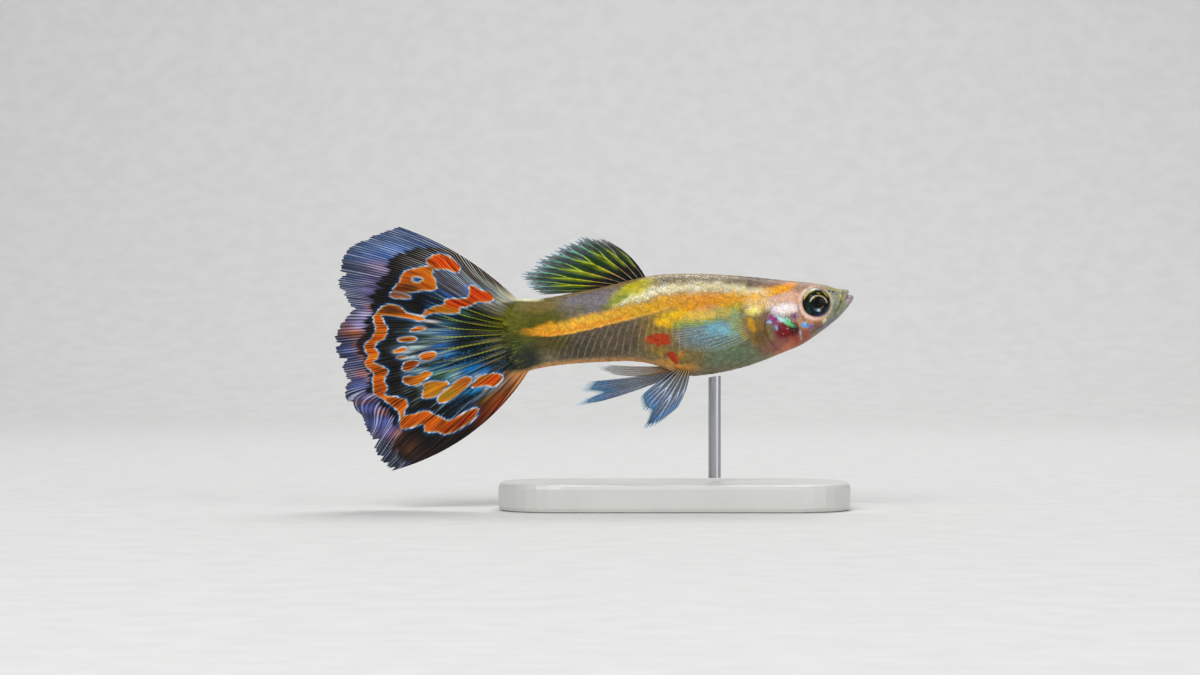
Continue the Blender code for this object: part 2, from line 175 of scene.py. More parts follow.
# Flesh and skin
# One skin covers head, jaws, gill covers, trunk and tail stem. Its rings start inside the mouth, roll
# over the lips, and end in a thin edge on the root of the tail fin.
NOSE_UP = math.radians(6.7)
SNOUT_PLACE = np.array((20.61, 0.0, 16.97))

# Each ring of the lips in MM: top, bottom and side as behind and height, and the half width
LIP_RINGS = (
    ((0.95, -0.02), (0.95, -0.02), (0.95, -0.02), 0.0),
    ((0.72, 0.14), (0.66, 0.07), (0.84, -0.17), 0.45),
    ((0.45, 0.25), (0.37, 0.18), (0.72, -0.20), 0.64),
    ((0.29, 0.34), (0.12, 0.20), (0.66, -0.22), 0.74),
    ((0.19, 0.45), (-0.09, 0.11), (0.64, -0.23), 0.81),
    ((0.21, 0.57), (-0.13, -0.07), (0.68, -0.24), 0.86),
    ((0.38, 0.64), (-0.03, -0.29), (0.75, -0.27), 0.90),
    ((0.62, 0.70), (0.30, -0.66), (0.95, -0.34), 1.01),
    ((1.10, 0.80), (1.00, -1.32), (1.40, -0.42), 1.24),
)
# The body behind them in MM: behind, back height, belly height, half width
BODY_RINGS = (
    (2.0, 1.18, -2.02, 1.58),
    (3.0, 1.47, -2.60, 1.80),
    (4.5, 1.80, -3.35, 2.02),
    (6.0, 2.12, -3.78, 2.18),
    (8.0, 2.56, -4.32, 2.30),
    (10.0, 2.95, -4.66, 2.35),
    (12.0, 3.26, -4.80, 2.30),
    (13.6, 3.45, -4.74, 2.15),
    (15.0, 3.55, -4.15, 1.95),
    (16.5, 3.50, -3.45, 1.72),
    (18.0, 3.33, -3.05, 1.52),
    (20.0, 3.07, -2.85, 1.30),
    (22.0, 2.93, -2.72, 1.08),
    (24.0, 2.78, -2.67, 0.88),
    (25.2, 2.80, -2.74, 0.70),
    (25.8, 2.88, -2.86, 0.55),
    (26.2, 2.95, -2.96, 0.36),
    (26.5, 3.00, -3.04, 0.0),
)
WIDEST_SHARE = 0.55
TAIL_ARC = (24.35, -0.15, 3.70)
EYE = (3.0, -0.13)
NOSTRILS = ((1.50, 0.56, 0.085), (1.82, 0.66, 0.07))
COVER_CENTRE = (5.55, -1.72)
COVER_REACH = (1.67, 1.86)
# Folds in the skin of the head in MM, as behind and height: lip, cheek, jaw, throat and brow
HEAD_FOLDS = (
    ((0.58, 0.72), (0.70, 0.40), (0.86, 0.05), (0.98, -0.28)),
    ((0.98, -0.28), (1.12, -0.62), (1.45, -0.98), (1.62, -1.30)),
    ((1.35, -1.28), (1.95, -1.74), (2.55, -2.05), (3.20, -2.22), (3.60, -2.42)),
    ((4.42, -0.25), (4.38, -0.72), (4.20, -1.20), (4.04, -1.62)),
)


def ring_table():
    """One row for each ring: its place along the fish, then the ten figures that shape it."""
    rows = []
    place = 2.0
    for top, bottom, side, half_width in reversed(LIP_RINGS):
        ahead = rows[-1][1:] if rows else (2.0, 1.18, 2.0, -2.02, 2.0, -0.26, 1.58)
        place -= max(math.dist(top, ahead[0:2]), math.dist(bottom, ahead[2:4]), 0.05)
        rows.append((place, *top, *bottom, *side, half_width, 0.80, 0.80))
    rows.reverse()
    for behind, back, belly, half_width in BODY_RINGS:
        middle = belly + WIDEST_SHARE * (back - belly)
        rows.append((behind, behind, back, behind, belly, behind, middle, half_width, 0.86, 0.94))
    return np.array(rows)


def smooth_rows(rows, place):
    """The rows' figures at any place along the fish, on smooth curves through the rows."""
    at = rows[:, 0]
    slopes = np.gradient(rows, at, axis=0)
    place = np.clip(place, at[0], at[-1])
    i = np.clip(np.searchsorted(at, place, side="right") - 1, 0, len(at) - 2)
    span = (at[i + 1] - at[i])[:, None]
    t = ((place - at[i]) / (at[i + 1] - at[i]))[:, None]
    return (
        rows[i] * (2 * t**3 - 3 * t**2 + 1)
        + rows[i + 1] * (3 * t**2 - 2 * t**3)
        + slopes[i] * span * (t**3 - 2 * t**2 + t)
        + slopes[i + 1] * span * (t**3 - t**2)
    )


def ease(value, low, high):
    t = np.clip((value - low) / (high - low), 0.0, 1.0)
    return t * t * (3 - 2 * t)


def line_distance(behind, height, line):
    """The distance in MM from each point to a line of straight legs."""
    nearest = np.full(np.shape(behind), 9.0)
    for (b0, h0), (b1, h1) in zip(line, line[1:]):
        leg_b, leg_h = b1 - b0, h1 - h0
        t = np.clip(((behind - b0) * leg_b + (height - h0) * leg_h) / (leg_b**2 + leg_h**2), 0, 1)
        nearest = np.minimum(nearest, np.hypot(behind - b0 - t * leg_b, height - h0 - t * leg_h))
    return nearest


def cover_reach(behind, height):
    """Where points lie on the gill cover's oval: along, up and out from its middle, with its edge at 1."""
    along = (behind - COVER_CENTRE[0]) / COVER_REACH[0]
    up = (height - COVER_CENTRE[1]) / COVER_REACH[1]
    return along, up, np.hypot(along, up)


def bump_at(value, middle, half):
    """1 where the value is at the middle, falling smoothly to nothing a few halves away."""
    return np.exp(-(((value - middle) / half) ** 2))


BODY = ring_table()
FIRST_PLACE, LAST_PLACE = BODY[0, 0], BODY[-1, 0]


def flesh(place, turn):
    """Points on the skin in MM, in the fish's frame. "turn" runs round from the belly, up the left side."""
    place, turn = np.broadcast_arrays(np.asarray(place, float), np.asarray(turn, float))
    shape = place.shape
    place, turn = place.ravel(), turn.ravel()
    row = smooth_rows(BODY, place)
    angle = 2 * math.pi * turn - math.pi / 2
    c, s = np.cos(angle), np.sin(angle)
    up = s >= 0
    edge_behind = np.where(up, row[:, 1], row[:, 3])
    edge_height = np.where(up, row[:, 2], row[:, 4])
    reach = np.abs(s)
    behind = row[:, 5] + (edge_behind - row[:, 5]) * reach
    height = row[:, 6] + (edge_height - row[:, 6]) * reach
    round_off = np.where(up, row[:, 8], row[:, 9])
    width = np.maximum(row[:, 7], 0.0)
    side = width * np.sign(c) * np.abs(c) ** round_off

    bend = np.clip((place - TAIL_ARC[0]) / (LAST_PLACE - TAIL_ARC[0]), 0.0, 1.0)
    arc = np.sqrt(np.maximum((TAIL_ARC[2] + 0.25) ** 2 - (height - TAIL_ARC[1]) ** 2, 0.0))
    behind = np.where(bend > 0, TAIL_ARC[0] + bend * arc, behind)

    # Relief is sculpted outwards, away from the middle of the body.
    out = np.sign(side)
    from_eye = np.hypot(behind - EYE[0], height - EYE[1])
    lift = -0.27 * (1 - ease(from_eye, 1.10, 1.50)) - 0.55 * (1 - ease(from_eye, 0.90, 1.09))
    lift += 0.035 * bump_at(from_eye, 1.24, 0.06)
    for pit_behind, pit_height, pit_radius in NOSTRILS:
        from_pit = np.hypot(behind - pit_behind, height - pit_height) / pit_radius
        lift += 0.03 * bump_at(from_pit, 1.5, 0.5) - 0.16 * bump_at(from_pit, 0, 1)
    cover_along, _, cover = cover_reach(behind, height)
    rear = ease(cover_along / np.maximum(cover, 0.01), -0.35, 0.15)
    swell = ease(cover, 0.45, 0.96) * (1 - ease(cover, 0.985, 1.02))
    lift += rear * (0.09 * swell - 0.07 * bump_at(cover, 1.045, 0.035))
    crescent = np.hypot((behind - 3.7) / 1.15, (height + 1.5) / 1.75)
    lower_rear = ease((behind - 3.7) - (height + 1.5), 0.2, 1.0)
    lift += lower_rear * (0.04 * bump_at(crescent, 0.97, 0.06) - 0.05 * bump_at(crescent, 1.08, 0.04))
    for fold in HEAD_FOLDS:
        from_fold = line_distance(behind, height, fold)
        lift += 0.022 * bump_at(from_fold, 0.13, 0.07) - 0.06 * bump_at(from_fold, 0, 0.055)
    side = side + out * lift * np.minimum(width, 1.0) * np.abs(c) ** 0.5 * (np.abs(side) > 0.02)
    return np.stack((behind, side, height), axis=-1).reshape(shape + (3,))


def set_in_world(points):
    """Takes points from the fish's frame in MM to the model's frame in metres."""
    ahead, side, up = -points[..., 0], points[..., 1], points[..., 2]
    c, s = math.cos(NOSE_UP), math.sin(NOSE_UP)
    return (np.stack((ahead * c - up * s, side, ahead * s + up * c), axis=-1) + SNOUT_PLACE) * MM


def own_points(piece):
    """A piece's points as they stand in its own mesh, one row for each."""
    flat = np.empty(len(piece.data.vertices) * 3)
    piece.data.vertices.foreach_get("co", flat)
    return flat.reshape(-1, 3)


def grid_points(piece):
    """A fresh grid's own coordinates, from 0 to 1 across and along, and its level."""
    x, y, level = own_points(piece).T
    return (x + 1) / 2, (y + 1) / 2, level


def move_points(piece, points):
    piece.data.vertices.foreach_set("co", set_in_world(points).astype(np.float32).ravel())
    piece.data.update()


def keep_on(piece, name, values):
    """Keeps a figure or a colour on each point of a piece, for its material to read."""
    values = np.asarray(values, np.float32)
    kind, field = {1: ("FLOAT", "value"), 3: ("FLOAT_VECTOR", "vector"), 4: ("FLOAT_COLOR", "color")}[
        1 if values.ndim == 1 else values.shape[1]
    ]
    layer = piece.data.attributes.new(name, kind, "POINT")
    layer.data.foreach_set(field, values.ravel())


def lay_flat(piece, layer, places):
    """Writes each point's place on a flat map of the piece."""
    corners = np.empty(len(piece.data.loops), int)
    piece.data.loops.foreach_get("vertex_index", corners)
    layer.data.foreach_set("uv", places[corners].astype(np.float32).ravel())


def face_outwards(piece, merge=0.0):
    """Joins a piece's doubled points where asked, and turns its faces outwards."""
    bpy.context.view_layer.objects.active = piece
    bpy.ops.object.mode_set(mode="EDIT")
    bpy.ops.mesh.select_all(action="SELECT")
    if merge:
        bpy.ops.mesh.remove_doubles(threshold=merge)
    bpy.ops.mesh.normals_make_consistent(inside=False)
    bpy.ops.object.mode_set(mode="OBJECT")


def read_lie(piece):
    flat = np.empty(len(piece.data.vertices) * 3, np.float32)
    piece.data.attributes["lie"].data.foreach_get("vector", flat)
    return flat.reshape(-1, 3)


def dressed(piece, name, material, slot, *nodes):
    """Names a finished piece, gives it its material and ties it to the model."""
    piece.name = piece.data.name = name
    piece.data.materials.clear()
    piece.data.materials.append(material)
    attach(piece, "root")
    if nodes:
        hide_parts(*nodes)
    bpy.ops.object.select_all(action="DESELECT")


SKIN_SIDES = 216
SKIN_LENGTHS = ((-9.0, 1.1, 0.050), (1.1, 7.6, 0.047), (7.6, 24.4, 0.115), (24.4, 26.5, 0.05))


def skin_places():
    """Where the rings lie along the fish, close together on the head and wider apart on the trunk."""
    places = []
    for start, end, spacing in SKIN_LENGTHS:
        start, end = max(start, FIRST_PLACE), min(end, LAST_PLACE)
        places.extend(np.arange(start, end - spacing / 2, spacing))
    return np.array(places + [LAST_PLACE])


# Colours laid on the body from the ground up, each a soft patch in MM:
# behind, height, reach along, reach up, tilt in degrees, softness, colour, strength
BODY_PATCHES = (
    (19.6, -1.1, 5.0, 1.7, 1, 0.5, (0.36, 0.31, 0.25), 0.95),
    (22.3, -1.5, 2.0, 1.2, 0, 0.6, (0.27, 0.26, 0.21), 0.8),
    (20.9, 2.2, 2.6, 1.2, -4, 0.6, (0.45, 0.43, 0.46), 0.9),
    (26.0, 1.1, 3.6, 2.3, 0, 0.5, (0.34, 0.34, 0.05), 1.0),
    (24.9, 2.2, 1.6, 0.6, 0, 0.6, (0.47, 0.39, 0.10), 0.8),
    (27.7, 1.4, 1.1, 1.3, 0, 0.6, (0.46, 0.46, 0.07), 0.6),
    (27.7, -0.2, 0.9, 0.9, 0, 0.7, (0.27, 0.28, 0.07), 0.8),
    (24.3, -0.8, 1.7, 0.9, 0, 0.6, (0.30, 0.27, 0.07), 0.9),
    (26.9, -1.9, 2.0, 1.5, 0, 0.5, (0.10, 0.15, 0.12), 0.95),
    (27.2, -0.9, 0.9, 0.6, 0, 0.6, (0.22, 0.28, 0.12), 0.8),
    (17.3, 2.5, 2.1, 0.80, -22, 0.5, (0.76, 0.72, 0.04), 1.0),
    (18.4, 1.9, 0.9, 0.50, -20, 0.6, (0.50, 0.56, 0.05), 0.9),
    (19.6, 1.5, 0.7, 0.40, -14, 0.7, (0.48, 0.50, 0.10), 0.7),
    (21.6, 1.6, 0.5, 0.35, 0, 0.7, (0.40, 0.40, 0.16), 0.6),
    (11.5, 3.1, 4.6, 0.50, -3, 0.6, (0.44, 0.40, 0.30), 0.8),
    (7.4, 2.40, 3.9, 0.55, -12, 0.8, (0.40, 0.34, 0.27), 0.95),
    (15.6, -1.2, 1.5, 2.4, 0, 0.6, (0.55, 0.45, 0.22), 0.9),
    (13.8, -2.3, 1.1, 0.6, 0, 0.6, (0.46, 0.40, 0.27), 0.8),
    (11.6, -1.75, 2.7, 1.15, 3, 0.6, (0.34, 0.46, 0.50), 0.95),
    (12.6, -0.55, 2.6, 0.45, 2, 0.6, (0.52, 0.60, 0.14), 0.95),
    (13.0, 0.05, 2.7, 0.55, 5, 0.6, (0.93, 0.74, 0.04), 1.0),
    (15.1, -0.35, 0.75, 0.42, 14, 0.6, (0.97, 0.74, 0.05), 0.95),
    (9.9, 0.25, 1.5, 0.55, -4, 0.6, (0.74, 0.68, 0.14), 0.95),
    (10.7, -1.35, 1.7, 0.62, 6, 0.6, (0.42, 0.70, 0.80), 0.9),
    (12.9, -1.25, 1.0, 0.40, 8, 0.7, (0.46, 0.52, 0.50), 0.7),
    (10.4, -3.4, 2.8, 1.05, 2, 0.6, (0.42, 0.49, 0.38), 0.95),
    (13.4, -3.4, 1.3, 1.0, 0, 0.7, (0.52, 0.45, 0.25), 0.85),
    (14.7, -3.85, 1.9, 0.42, 14, 0.6, (0.88, 0.62, 0.28), 0.95),
    (15.7, -2.7, 0.32, 0.36, 0, 0.7, (0.72, 0.56, 0.14), 0.8),
    (14.05, -2.9, 0.24, 0.36, 0, 0.7, (0.84, 0.56, 0.10), 0.8),
    (9.6, -0.8, 0.50, 1.25, 6, 0.7, (0.56, 0.66, 0.44), 0.8),
    (7.6, 0.5, 1.1, 0.85, -8, 0.6, (0.93, 0.74, 0.38), 0.9),
    (8.1, -0.2, 0.55, 0.40, 0, 0.6, (0.96, 0.90, 0.46), 0.95),
    (7.8, -1.9, 0.85, 1.25, 0, 0.5, (0.50, 0.37, 0.14), 0.95),
    (8.3, -1.2, 0.36, 0.62, -14, 0.6, (0.84, 0.64, 0.10), 0.9),
    (7.6, -2.2, 0.50, 0.60, 0, 0.6, (0.30, 0.28, 0.20), 0.6),
    (7.4, -3.2, 0.8, 0.6, 0, 0.7, (0.44, 0.36, 0.26), 0.8),
    (6.2, 1.62, 2.6, 0.42, -12, 0.6, (0.62, 0.46, 0.36), 0.8),
    (5.2, 0.5, 1.8, 0.9, 0, 0.6, (0.90, 0.72, 0.62), 0.85),
    (5.6, 1.3, 1.5, 0.36, -12, 0.5, (0.94, 0.60, 0.10), 0.95),
    (5.9, -3.0, 1.5, 0.9, -14, 0.6, (0.56, 0.33, 0.30), 0.95),
    (5.5, -3.35, 1.4, 0.35, -26, 0.7, (0.78, 0.46, 0.32), 0.85),
    (4.5, -2.7, 1.0, 0.8, -30, 0.6, (0.62, 0.28, 0.22), 0.85),
    (4.3, -0.6, 1.0, 1.6, 0, 0.6, (0.84, 0.62, 0.50), 0.7),
    (3.1, 1.3, 1.5, 0.5, -8, 0.6, (0.64, 0.50, 0.41), 0.9),
    (3.3, -1.5, 1.2, 0.45, -8, 0.6, (0.78, 0.54, 0.40), 0.9),
    (1.3, -0.4, 1.4, 1.6, 0, 0.5, (0.57, 0.59, 0.50), 0.95),
    (1.6, -0.7, 0.45, 0.42, 0, 0.6, (0.42, 0.44, 0.37), 0.8),
    (2.2, -2.0, 1.2, 0.35, -33, 0.6, (0.52, 0.52, 0.58), 0.8),
    (3.0, -1.9, 0.5, 0.30, -10, 0.6, (0.50, 0.31, 0.29), 0.8),
    (2.49, -1.62, 0.15, 0.24, 20, 0.5, (0.82, 0.88, 0.64), 0.95),
    (1.00, -0.35, 0.13, 0.50, 5, 0.6, (0.50, 0.52, 0.20), 0.8),
    (0.97, 0.17, 0.11, 0.20, 0, 0.6, (0.84, 0.70, 0.06), 0.95),
    (1.2, 0.80, 1.1, 0.16, 12, 0.7, (0.62, 0.58, 0.24), 0.9),
    (0.15, -0.15, 0.45, 0.45, 0, 0.6, (0.66, 0.60, 0.64), 0.9),
    (0.36, -0.24, 0.12, 0.13, 0, 0.6, (0.80, 0.62, 0.36), 0.8),
    (5.65, -1.95, 1.05, 0.80, 0, 0.35, (0.46, 0.02, 0.10), 1.0),
    (4.95, -2.0, 0.36, 0.55, 10, 0.6, (0.16, 0.01, 0.05), 0.9),
    (6.5, -0.95, 0.46, 0.46, 0, 0.8, (0.58, 0.14, 0.52), 0.95),
    (4.85, -0.95, 0.38, 0.40, 0, 0.8, (0.36, 0.20, 0.44), 0.9),
    (5.6, -0.25, 1.2, 0.46, 6, 0.5, (0.99, 0.94, 0.96), 1.0),
    (5.75, -1.10, 0.74, 0.20, 36, 0.8, (0.74, 0.95, 1.00), 1.0),
    (5.25, -1.45, 0.50, 0.20, 44, 0.8, (0.30, 0.80, 0.48), 1.0),
    (6.0, -1.55, 0.30, 0.14, 20, 0.8, (0.56, 0.16, 0.34), 0.8),
    (6.4, -1.69, 0.19, 0.21, 0, 0.8, (0.50, 0.74, 0.95), 0.95),
    (6.75, -1.15, 0.16, 0.14, 0, 0.8, (0.60, 0.86, 0.96), 0.9),
    (4.09, -1.80, 0.32, 0.22, 10, 0.8, (0.26, 0.66, 0.94), 1.0),
    (4.05, -1.62, 0.13, 0.18, 0, 0.8, (0.70, 0.92, 0.98), 0.9),
    (3.68, -1.95, 0.28, 0.16, -30, 0.8, (0.42, 0.38, 0.66), 0.9),
    # The last patch, a thin pale blue-white stroke down the edge of the preopercle, is a painted highlight.
    (4.55, -2.45, 0.10, 0.50, -8, 0.6, (0.62, 0.68, 0.68), 0.85),
)
# The gold band along the flank in MM: behind, height of its middle, half depth
GOLD_BAND = (
    (4.4, 1.30, 0.25), (6.0, 1.25, 0.30), (8.0, 1.12, 0.42), (9.5, 1.05, 0.55), (11.3, 1.05, 0.70),
    (13.0, 1.12, 0.80), (14.6, 1.40, 0.62), (16.0, 1.17, 0.61), (18.0, 0.87, 0.63), (20.0, 0.58, 0.56),
    (22.3, 0.33, 0.60), (24.2, 0.24, 0.52), (26.8, 0.25, 0.20),
)
# Its colour from head to tail: behind, red, green, blue
GOLD_TONES = (
    (4.4, 0.94, 0.62, 0.12), (6.6, 0.96, 0.70, 0.20), (9.0, 0.92, 0.66, 0.08), (11.4, 0.90, 0.57, 0.03),
    (13.6, 0.88, 0.60, 0.04), (16.0, 0.88, 0.66, 0.07), (19.0, 0.92, 0.68, 0.17),
    (22.0, 0.97, 0.74, 0.20), (25.0, 0.94, 0.64, 0.12),
)
# The glittering band over it: behind, height of its middle, half depth
WHITE_BAND = (
    (6.8, 1.30, 0.25), (8.7, 1.65, 0.30), (10.3, 2.00, 0.36), (12.3, 2.25, 0.40), (14.7, 2.38, 0.38),
    (16.0, 2.20, 0.34), (17.5, 1.85, 0.26), (19.4, 1.38, 0.16),
)
# Red spots: behind, height, reach along, reach up, tilt in degrees
RED_SPOTS = ((15.45, -1.68, 0.64, 0.52, 14), (16.15, -1.46, 0.55, 0.42, 4), (14.75, -3.12, 0.64, 0.38, 38))


def tilted(behind, height, patch_behind, patch_height, along, up, tilt):
    """Where points lie on a tilted oval, with its edge at 1. The tilt lifts its rear end."""
    angle = math.radians(tilt)
    b, h = behind - patch_behind, height - patch_height
    x = (b * math.cos(angle) + h * math.sin(angle)) / along
    y = (h * math.cos(angle) - b * math.sin(angle)) / up
    return x, y


def patch_share(behind, height, *oval, softness=0.6):
    """How much of a soft oval patch covers each point, from 0 to 1."""
    return 1 - ease(np.hypot(*tilted(behind, height, *oval)), 1 - softness, 1 + softness * 0.6)


def lay(colour, over, share):
    """Lays one colour over others in the given share."""
    share = np.asarray(share)[:, None]
    return colour * (1 - share) + np.array(paint(*over)) * share


def grain(behind, height, size, seed):
    """Smooth noise from -1 to 1 whose grains are about the given size in MM."""
    x, y = behind / size, height / size
    column, row = np.floor(x), np.floor(y)
    across, up = ease(x - column, 0, 1), ease(y - row, 0, 1)

    def crossing(i, j):
        """A figure from -1 to 1 that belongs to one crossing of the noise's net."""
        mixed = np.sin((column + i) * 12.9898 + (row + j) * 78.233 + seed * 37.719) * 43758.5453
        return 2 * (mixed - np.floor(mixed)) - 1

    near = crossing(0, 0) * (1 - across) + crossing(1, 0) * across
    far = crossing(0, 1) * (1 - across) + crossing(1, 1) * across
    return near * (1 - up) + far * up


def stray(behind, height):
    """Shifts each point a little, so that marks have ragged edges. The head's marks stray less."""
    on_gill = bump_at(behind, 5.6, 1.6) * bump_at(height, -1.3, 1.2)
    share = 0.35 + 0.65 * ease(behind, 5.0, 9.0) + 0.45 * on_gill
    along, up = np.zeros(len(behind)), np.zeros(len(behind))
    for seed, (size, reach) in enumerate(((1.1, 0.16), (0.36, 0.13), (0.14, 0.10))):
        along += reach * grain(behind, height, size, seed)
        up += 0.8 * reach * grain(behind, height, size, seed + 9)
    return behind + share * along, height + share * up


def body_marks(lie):
    """The body's colours at points of the fish's frame, and how far each glitters, streaks and is dotted."""
    true_behind, true_height = lie[:, 0], lie[:, 2]
    behind, height = stray(true_behind, true_height)
    row = smooth_rows(BODY, true_behind)
    back, belly = row[:, 2], row[:, 4]
    level = (height - belly) / np.maximum(back - belly, 0.2)
    colour = np.tile(np.array(paint(0.50, 0.44, 0.32)), (len(behind), 1))
    colour = lay(colour, (0.54, 0.47, 0.38), ease(level, 0.55, 0.95))
    colour = lay(colour, (0.50, 0.46, 0.36), 1 - ease(level, 0.0, 0.3))
    for *oval, softness, over, strength in BODY_PATCHES:
        colour = lay(colour, over, strength * patch_share(behind, height, *oval, softness=softness))

    at, middle, half = np.array(GOLD_BAND).T
    middle, half = np.interp(true_behind, at, middle), np.interp(true_behind, at, half)
    off = (height - middle) / half
    low_off = (0.75 * true_height + 0.25 * height - middle) / half
    soft = np.interp(true_behind, (10.0, 13.6), (0.8, 0.10))
    gold = ease((low_off + 1) / soft, -1, 1) * (1 - ease(off, 0.40, 1.40))
    gold *= ease(behind, 4.4, 5.6) * (1 - ease(behind, 25.0, 27.2))
    at, *tones = np.array([(stop[0], *paint(*stop[1:])[:3]) for stop in GOLD_TONES]).T
    gold_tone = np.stack([np.interp(behind, at, tone) for tone in tones] + [np.ones(len(behind))], axis=-1)
    share = (0.90 * gold)[:, None]
    colour = colour * (1 - share) + gold_tone * share
    deep = bump_at(off, -0.55, 0.30) * ease(behind, 16.5, 19.5) * (1 - ease(behind, 25.0, 26.5))
    colour = lay(colour, (0.92, 0.50, 0.08), 0.55 * deep * gold)
    lower_line = ease(true_behind, 13.2, 15.0) * (1 - ease(true_behind, 23.0, 26.0))
    lower_line = bump_at(low_off, -0.92, 0.10) * lower_line
    colour = lay(colour, (1.00, 0.74, 0.32), 0.75 * lower_line)

    at, middle, half = np.array(WHITE_BAND).T
    white = bump_at(height, np.interp(behind, at, middle), np.interp(behind, at, half))
    white *= ease(behind, 6.0, 8.0) * (1 - ease(behind, 17.0, 20.0))
    colour = lay(colour, (0.97, 0.93, 0.72), 0.68 * white)

    edge = true_height - belly
    rim = (1 - ease(edge, 0.10, 0.50)) * ease(behind, 13.0, 15.5)
    colour = lay(colour, (0.80, 0.62, 0.40), 0.8 * rim)
    amber = (1 - ease(edge, 0.04, 0.22)) * ease(behind, 15.5, 17.5)
    colour = lay(colour, (0.90, 0.60, 0.34), 0.75 * amber)
    cream = (1 - ease(back - true_height, 0.06, 0.30)) * ease(true_behind, 24.2, 25.2)
    colour = lay(colour, (0.98, 0.96, 0.80), 0.9 * cream)
    top_line = (1 - ease(back - true_height, 0.05, 0.34)) * ease(behind, 8, 10) * (1 - ease(behind, 22, 25))
    colour = lay(colour, (0.60, 0.49, 0.26), 0.7 * top_line)

    from_eye = np.hypot(true_behind - EYE[0], true_height - EYE[1])
    lit_side = 0.45 + 0.55 * ease(true_behind, 2.6, 3.9)
    colour = lay(colour, (0.97, 0.85, 0.78), lit_side * bump_at(from_eye, 1.27, 0.13))
    # The sunken socket under the eyeball's edge is painted near black, as painted shade.
    colour = lay(colour, (0.03, 0.04, 0.04), 1 - ease(from_eye, 1.02, 1.10))
    # Each nostril pit is painted dark, as painted shade in the hollow.
    for pit_behind, pit_height, pit_radius in NOSTRILS:
        from_pit = np.hypot(true_behind - pit_behind, true_height - pit_height)
        colour = lay(colour, (0.20, 0.18, 0.10), 1 - ease(from_pit, pit_radius * 0.5, pit_radius * 1.3))

    # The groove behind the gill cover's edge is painted darker, as painted shade.
    slit_shade = bump_at(cover_reach(true_behind, true_height)[2], 1.05, 0.03) * ease(true_behind, 5.6, 6.4)
    colour = lay(colour, (0.40, 0.22, 0.16), 0.45 * slit_shade)

    # Each fold of the head is painted darker along its line, as painted shade in the crease.
    for fold in HEAD_FOLDS:
        crease_shade = bump_at(line_distance(true_behind, true_height, fold), 0, 0.06)
        colour = lay(colour, (0.30, 0.22, 0.18), 0.45 * crease_shade)

    spot = np.full(len(behind), 9.0)
    for oval in RED_SPOTS:
        x, y = tilted(behind, height, *oval)
        spot = np.minimum(spot, (np.abs(x) ** 3 + np.abs(y) ** 3) ** (1 / 3))

    gill_glitter = patch_share(behind, height, 5.6, -0.3, 1.5, 0.9, 10)
    upper = ease(height, 2.3, 2.8) * ease(behind, 8.0, 10.0) * (1 - ease(behind, 15.5, 18.0)) * 0.5
    shoulder = patch_share(behind, height, 7.5, 0.5, 1.4, 0.9, -8)
    blue = patch_share(behind, height, 11.2, -1.7, 2.2, 0.9, 3)
    gill_spark = patch_share(behind, height, 5.5, -1.4, 1.5, 1.1, 10, softness=0.7)
    glitter = white * 1.15 + 0.6 * gill_glitter + 0.30 * gill_spark + upper
    glitter = glitter + 0.7 * shoulder + 0.35 * blue + 0.14 * gold
    glitter = np.clip(glitter, 0, 1)
    below_band = 1 - ease(off, -1.5, -1.0)
    streaks = ease(behind, 13.0, 14.5) * (1 - ease(behind, 22.5, 26.0)) * below_band * ease(edge, 0.25, 0.6)
    belly_dots = (1 - ease(height, -2.6, -1.9)) * ease(behind, 6.5, 8.0) * (1 - ease(behind, 12.0, 14.0))
    disc = patch_share(behind, height, 7.5, -2.1, 0.8, 0.9, 0)
    stem_dots = ease(behind, 20.0, 24.5) * (0.5 + 0.5 * ease(behind, 24.0, 26.0))
    dots = np.clip(belly_dots + disc + stem_dots + 0.25 * ease(level, 0.6, 0.9), 0, 1)
    return colour, spot, np.stack((glitter, streaks, dots), axis=-1)


def mark_body(piece):
    colour, spot, texture = body_marks(read_lie(piece))
    keep_on(piece, "ground", colour)
    keep_on(piece, "spot", spot)
    keep_on(piece, "texture", texture)


